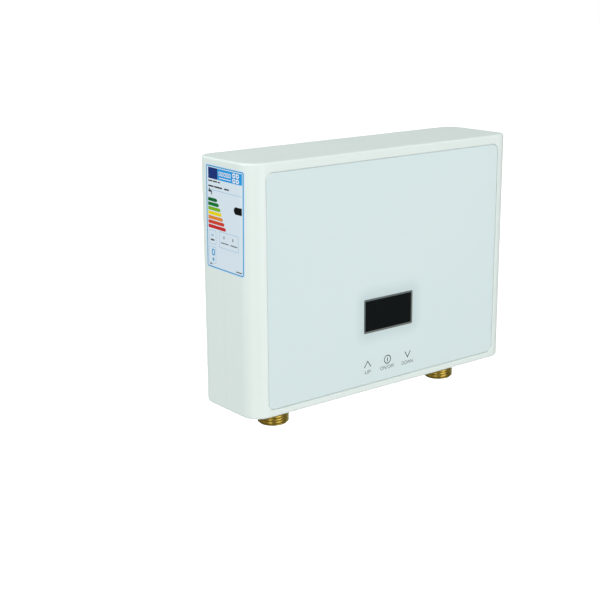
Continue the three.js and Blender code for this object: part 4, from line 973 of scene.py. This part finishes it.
label_ground = case_form()
finish(rear_shell(copy_of(label_ground, "rear_shell_moulding")), white, "case_white", "rear_shell")
finish(front_cover(copy_of(label_ground, "front_cover_moulding")), white, "case_white", "front_cover")

finish(glass_panel(), back_painted_glass(), "panel_glass", "glass_panel")
window_ink = printed("window_ink", "#131718", 0.05, **{"Specular IOR Level": 0.1})
# Painted light and shade: the ring round the window is lit at the bottom and the right, shaded above and at
# the left.
window_light_and_shade = window_surround()
key_ink = printed("key_ink", "#33393c", 0.1)
border = ink_plate("window_border", BORDER_X, BORDER_Z, 1)
hole = rounded_block("hole", WINDOW_X, (GLASS_FRONT - 1, GLASS_FRONT + 1), WINDOW_Z, 1, 0.4, 4)
finish(smooth(cut(border, hole)), window_light_and_shade)
finish(smooth(ink_plate("window_pane", WINDOW_X, WINDOW_Z, 0.4)), window_ink)
finish(arrow_mark("key_mark_up", (-20.9, -63.1), (-18.2, -59.3), 0.6), key_ink)
finish(arrow_mark("key_mark_down", (15.3, -59.5), (17.6, -63.4), 0.6), key_ink)
ring = [(2.45, -INK), (3.05, -INK), (3.05, 0), (2.45, 0), (2.45, -INK)]
finish(turned("key_mark_ring", ring, "Y", (POWER_KEY_X, GLASS_FRONT, POWER_KEY_Z)), key_ink)
finish(ink_plate("key_mark_bar", around(POWER_KEY_X, 0.65), around(POWER_KEY_Z, 2.8), 0.1), key_ink)
finish(word("key_word_up", "UP", (-20.5, -15.6), (-67.9, -65.5)), key_ink)
finish(word("key_word_on_off", "ON/OFF", (-7, 5.4), (-67.9, -65.5)), key_ink)
finish(word("key_word_down", "DOWN", (12.4, 22.5), (-68.1, -65.7)), key_ink)

blank = nipple()
finish(moved(copy_of(blank, "threaded_inlet"), PIPE_X, SEAM), brass, "brass", "inlet_nipple")
finish(moved(copy_of(blank, "threaded_outlet"), -PIPE_X, SEAM), brass, "brass", "outlet_nipple")
bpy.data.objects.remove(blank)
finish(cable_grommet(), rubber, "rubber", "cable_grommet")

screw = case_screw()
for number in range(1, 5):
    low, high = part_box(f"case_screw_{number}")
    middle = (low + high) / 2 / MM
    fitted = moved(copy_of(screw, f"cross_head_screw_{number}"), middle.x, SCREW_SEAT, middle.z)
    finish(fitted, zinc, "steel", f"case_screw_{number}")
bpy.data.objects.remove(screw)

finish(laid_on_side(side_cut("label_film", LABEL_Y, LABEL_Z, 1.6), 0.01, FILM - 0.005), vinyl_film())
print_on_label(
    "sky_blue", "#4ea8dc",
    side_frame("border", (-51.2, -12.9), (11.1, 75.2), 0.8, 1.4),
    side_cut("mark", (-20.4, -18.4), (15.4, 17.4), 0.6),
    side_frame("mark", (-21.2, -17.7), (18.8, 23.1), 1, 1.3),
)
print_on_label("navy", "#16357c", side_cut("block", (-25, -15.1), (67, 73.9)))
print_on_label("azure", "#209fe8", side_cut("band", (-50, -25.1), (67, 73.9)))
print_on_label(
    "white", "#f2f7fb",
    *[side_frame("box", around(-27.6 - 2.6 * i, 2.1), (69.8, 72.4), 0.5) for i in range(5)],
    *[side_frame("box", around(y, 3), around(z, 2.6), 0.8, 0.8) for y in (-42.4, -46) for z in (68.8, 72)],
    side_cut("rule", (-39.4, -26.8), (68.2, 68.7)),
    lift=FILM + 0.04,
)
print_on_label(
    "black", "#0b0c0e",
    *rules((65.2, 66), (-19.4, -15.1), (-24.6, -20), (-27.6, -25.4)),
    *rules((61.9, 62.8), (-20.6, -15.1), (-29.8, -21.3), (-37, -32)),
    *rules((12.9, 13.5), (-18.1, -15.6), (-49.7, -44)),
    pointed_bar("tag", (-49.8, -43.4), 50.9, 4.5, 1.4),
    side_cut("mark", (-18, -15.2), (58.6, 59.8)), side_cut("mark", (-16.6, -15.8), (59.8, 61)),
    side_cut("mark", (-18.9, -18), (57.2, 59.4)),
)
print_on_label(
    "grey", "#3f4854",
    side_cut("rule", (-20.6, -16.8), (28.2, 29.2)),
    side_cut("mark", (-31.6, -30.8), (31.2, 33)), side_cut("mark", (-41, -40.2), (31.2, 33)),
    *rules((28.2, 28.8), (-36, -28), (-45.2, -38)),
)
print_on_label(
    "pale_blue", "#9fc9e6",
    side_cut("line", (-49.6, -14.3), (60, 60.3)),
    side_frame("box", (-22.8, -14.9), (26, 34.8), 0.3),
    side_frame("box", (-22.4, -14.6), (13.9, 24.3), 0.3),
    side_frame("box", (-46.6, -26.2), (25.2, 35.4), 0.3),
    side_cut("mark", (-20, -17.6), (31, 32.4), 0.4),
)
BARS = [
    ("dark_green", "#00692f", 24.4), ("green", "#007a2f", 26.1), ("leaf_green", "#80bc14", 27.8),
    ("yellow", "#f4dc00", 29), ("orange", "#ea8a2a", 30.2), ("vermilion", "#d8402b", 31.8),
    ("red", "#d02a26", 33.4),
]
for number, (name, colour, reach) in enumerate(BARS):
    print_on_label(name, colour, pointed_bar("bar", (-14.6, -reach + 0.9), 54 - 2.8 * number, 2.15, 0.9))
bpy.data.objects.remove(label_ground)

# The inner pieces

dress(foam_tape(), "panel_tape")
dress(board_laminate(), "display_board", "power_board")
dress(cast_aluminium(), "heater_block", "triac_heatsink")
dress(drawn_stainless(), "water_tube", "heating_element_outer", "heating_element_inner")
dress(punched_copper(), "element_link_live", "element_link_neutral")
dress(brass, "outlet_probe")
dress(rubber, "inlet_seal", "outlet_seal", "tube_seal_inlet", "tube_seal_outlet")
dress(
    zinc, "touch_spring_up", "touch_spring_power", "touch_spring_down", "terminal_screw_1",
    "terminal_screw_2", "terminal_screw_3", "power_board_screw_1", "power_board_screw_2", "block_screw_1",
    "block_screw_2", "cutout_screw_1", "cutout_screw_2", "earth_screw", "earth_tag", "rotor_shaft",
)
dress(
    spark_grained("black_nylon", "#2a2b2c", "#202122"), "display_module", "triac", "thermal_cutout", "rotor",
    "hall_sensor",
)
dress(
    spark_grained("natural_nylon", "#e4e0d3", "#dad5c6"), "inlet_filter", "flow_sensor_body",
    "flow_sensor_cap", "outlet_coupling",
)
dress(spark_grained("blue_relay_case", "#2f6fb5", "#2863a6"), "relay")
dress(spark_grained("grey_terminal_body", "#8d9296", "#83888c"), "terminal_block")
dress(spark_grained("red_button", "#c22a22", "#b0241d"), "reset_button")
dress(extruded_pvc("brown_pvc", "#6b4029", "#5f3824"), "lead_live", "lead_cutout")
dress(extruded_pvc("blue_pvc", "#2f6cb8", "#2961a9"), "lead_neutral")
dress(extruded_pvc("grey_pvc", "#989c9e", "#8d9193"), "lead_sensor", "lead_probe")
dress(earth_pvc(), "lead_earth")
dress(flat_cable(), "display_ribbon")


# Studio, in metres


def studio_floor():
    """A plain white floor well below the heater, lit up to white, that casts nothing back on it."""
    deselect()
    bpy.ops.mesh.primitive_plane_add(size=40, location=(0, 0, -1))
    floor = new_piece("studio_floor")
    material, tree, places = new_material("white_floor")
    patches = add(tree, "TexNoise", {"Vector": places, "Scale": 1 / (400 * MM)})[0]
    uneven = {0: patches, 6: linear("#f4f5f5"), 7: linear("#f7f8f8")}
    surface(tree, {
        "Base Color": add(tree, "Mix", uneven, data_type="RGBA")[2],
        "Roughness": 0.9, "Emission Color": linear("#ffffff"), "Emission Strength": 1,
    })
    floor.data.materials.append(material)
    floor.visible_diffuse = False
    floor.visible_glossy = False


def softbox(name, place, width, height, glow, colour="#ffffff"):
    """An area light in its colour that faces the heater. Its glow is its brightness, where 1 is white."""
    lamp = bpy.data.lights.new(name, "AREA")
    lamp.shape = "RECTANGLE"
    lamp.size = width
    lamp.size_y = height
    lamp.energy = glow * math.pi * width * height
    lamp.color = linear(colour)[:3]
    light = bpy.data.objects.new(name, lamp)
    light.location = place
    light.rotation_euler = (Vector((0, -0.03, 0)) - Vector(place)).to_track_quat("-Z", "Y").to_euler()
    bpy.context.scene.collection.objects.link(light)


def white_studio(matt_share, gloss_share):
    """White all round for the camera. One share of that lights matt faces, and another shows in gloss."""
    world = bpy.data.worlds.new("white_studio")
    world.use_nodes = True
    world.node_tree.nodes.clear()
    tree = world.node_tree
    path = add(tree, "LightPath")
    in_gloss = {"Value": path["Is Glossy Ray"], "To Min": matt_share, "To Max": gloss_share}
    share = add(tree, "MapRange", in_gloss)[0]
    strength = add(tree, "MapRange", {"Value": path["Is Camera Ray"], "To Min": share, "To Max": 1})[0]
    light = add(tree, "Background", {"Color": linear("#ffffff"), "Strength": strength})[0]
    add(tree, "OutputWorld", {"Surface": light})
    bpy.context.scene.world = world


def photo_camera():
    """Above and to the left of the heater, looking down at its left side and its front."""
    lens = bpy.data.cameras.new("photo_camera")
    lens.lens = 73.33
    lens.sensor_width = 36
    lens.clip_start = 0.01
    turn, tilt, lean = 0.6637, 0.2615, 0.0072
    camera = bpy.data.objects.new("photo_camera", lens)
    camera.matrix_world = (
        Matrix.Translation((-0.52565, -0.63546, 0.18817))
        @ Matrix.Rotation(-turn, 4, "Z")
        @ Matrix.Rotation(math.pi / 2 - tilt, 4, "X")
        @ Matrix.Rotation(-lean, 4, "Z")
    )
    bpy.context.scene.collection.objects.link(camera)
    bpy.context.scene.camera = camera


studio_floor()
softbox("front_softbox", (0.2, -1.4, 0.27), 1.2, 2.2, 1.76)
softbox("left_softbox", (-1.27, -0.8, -0.1), 0.4, 1.8, 1.72)
softbox("side_softbox", (-1.5, 0.3, 0.3), 1.2, 1, 2.2, "#f8fffc")
softbox("top_softbox", (-0.2, 0.45, 1.35), 1.2, 1, 2.75, "#faffff")
softbox("back_softbox", (0.7, 1.4, -0.5), 1.4, 0.8, 1.8)
white_studio(0.4, 0.13)
photo_camera()
bpy.context.scene.view_settings.view_transform = "Standard"
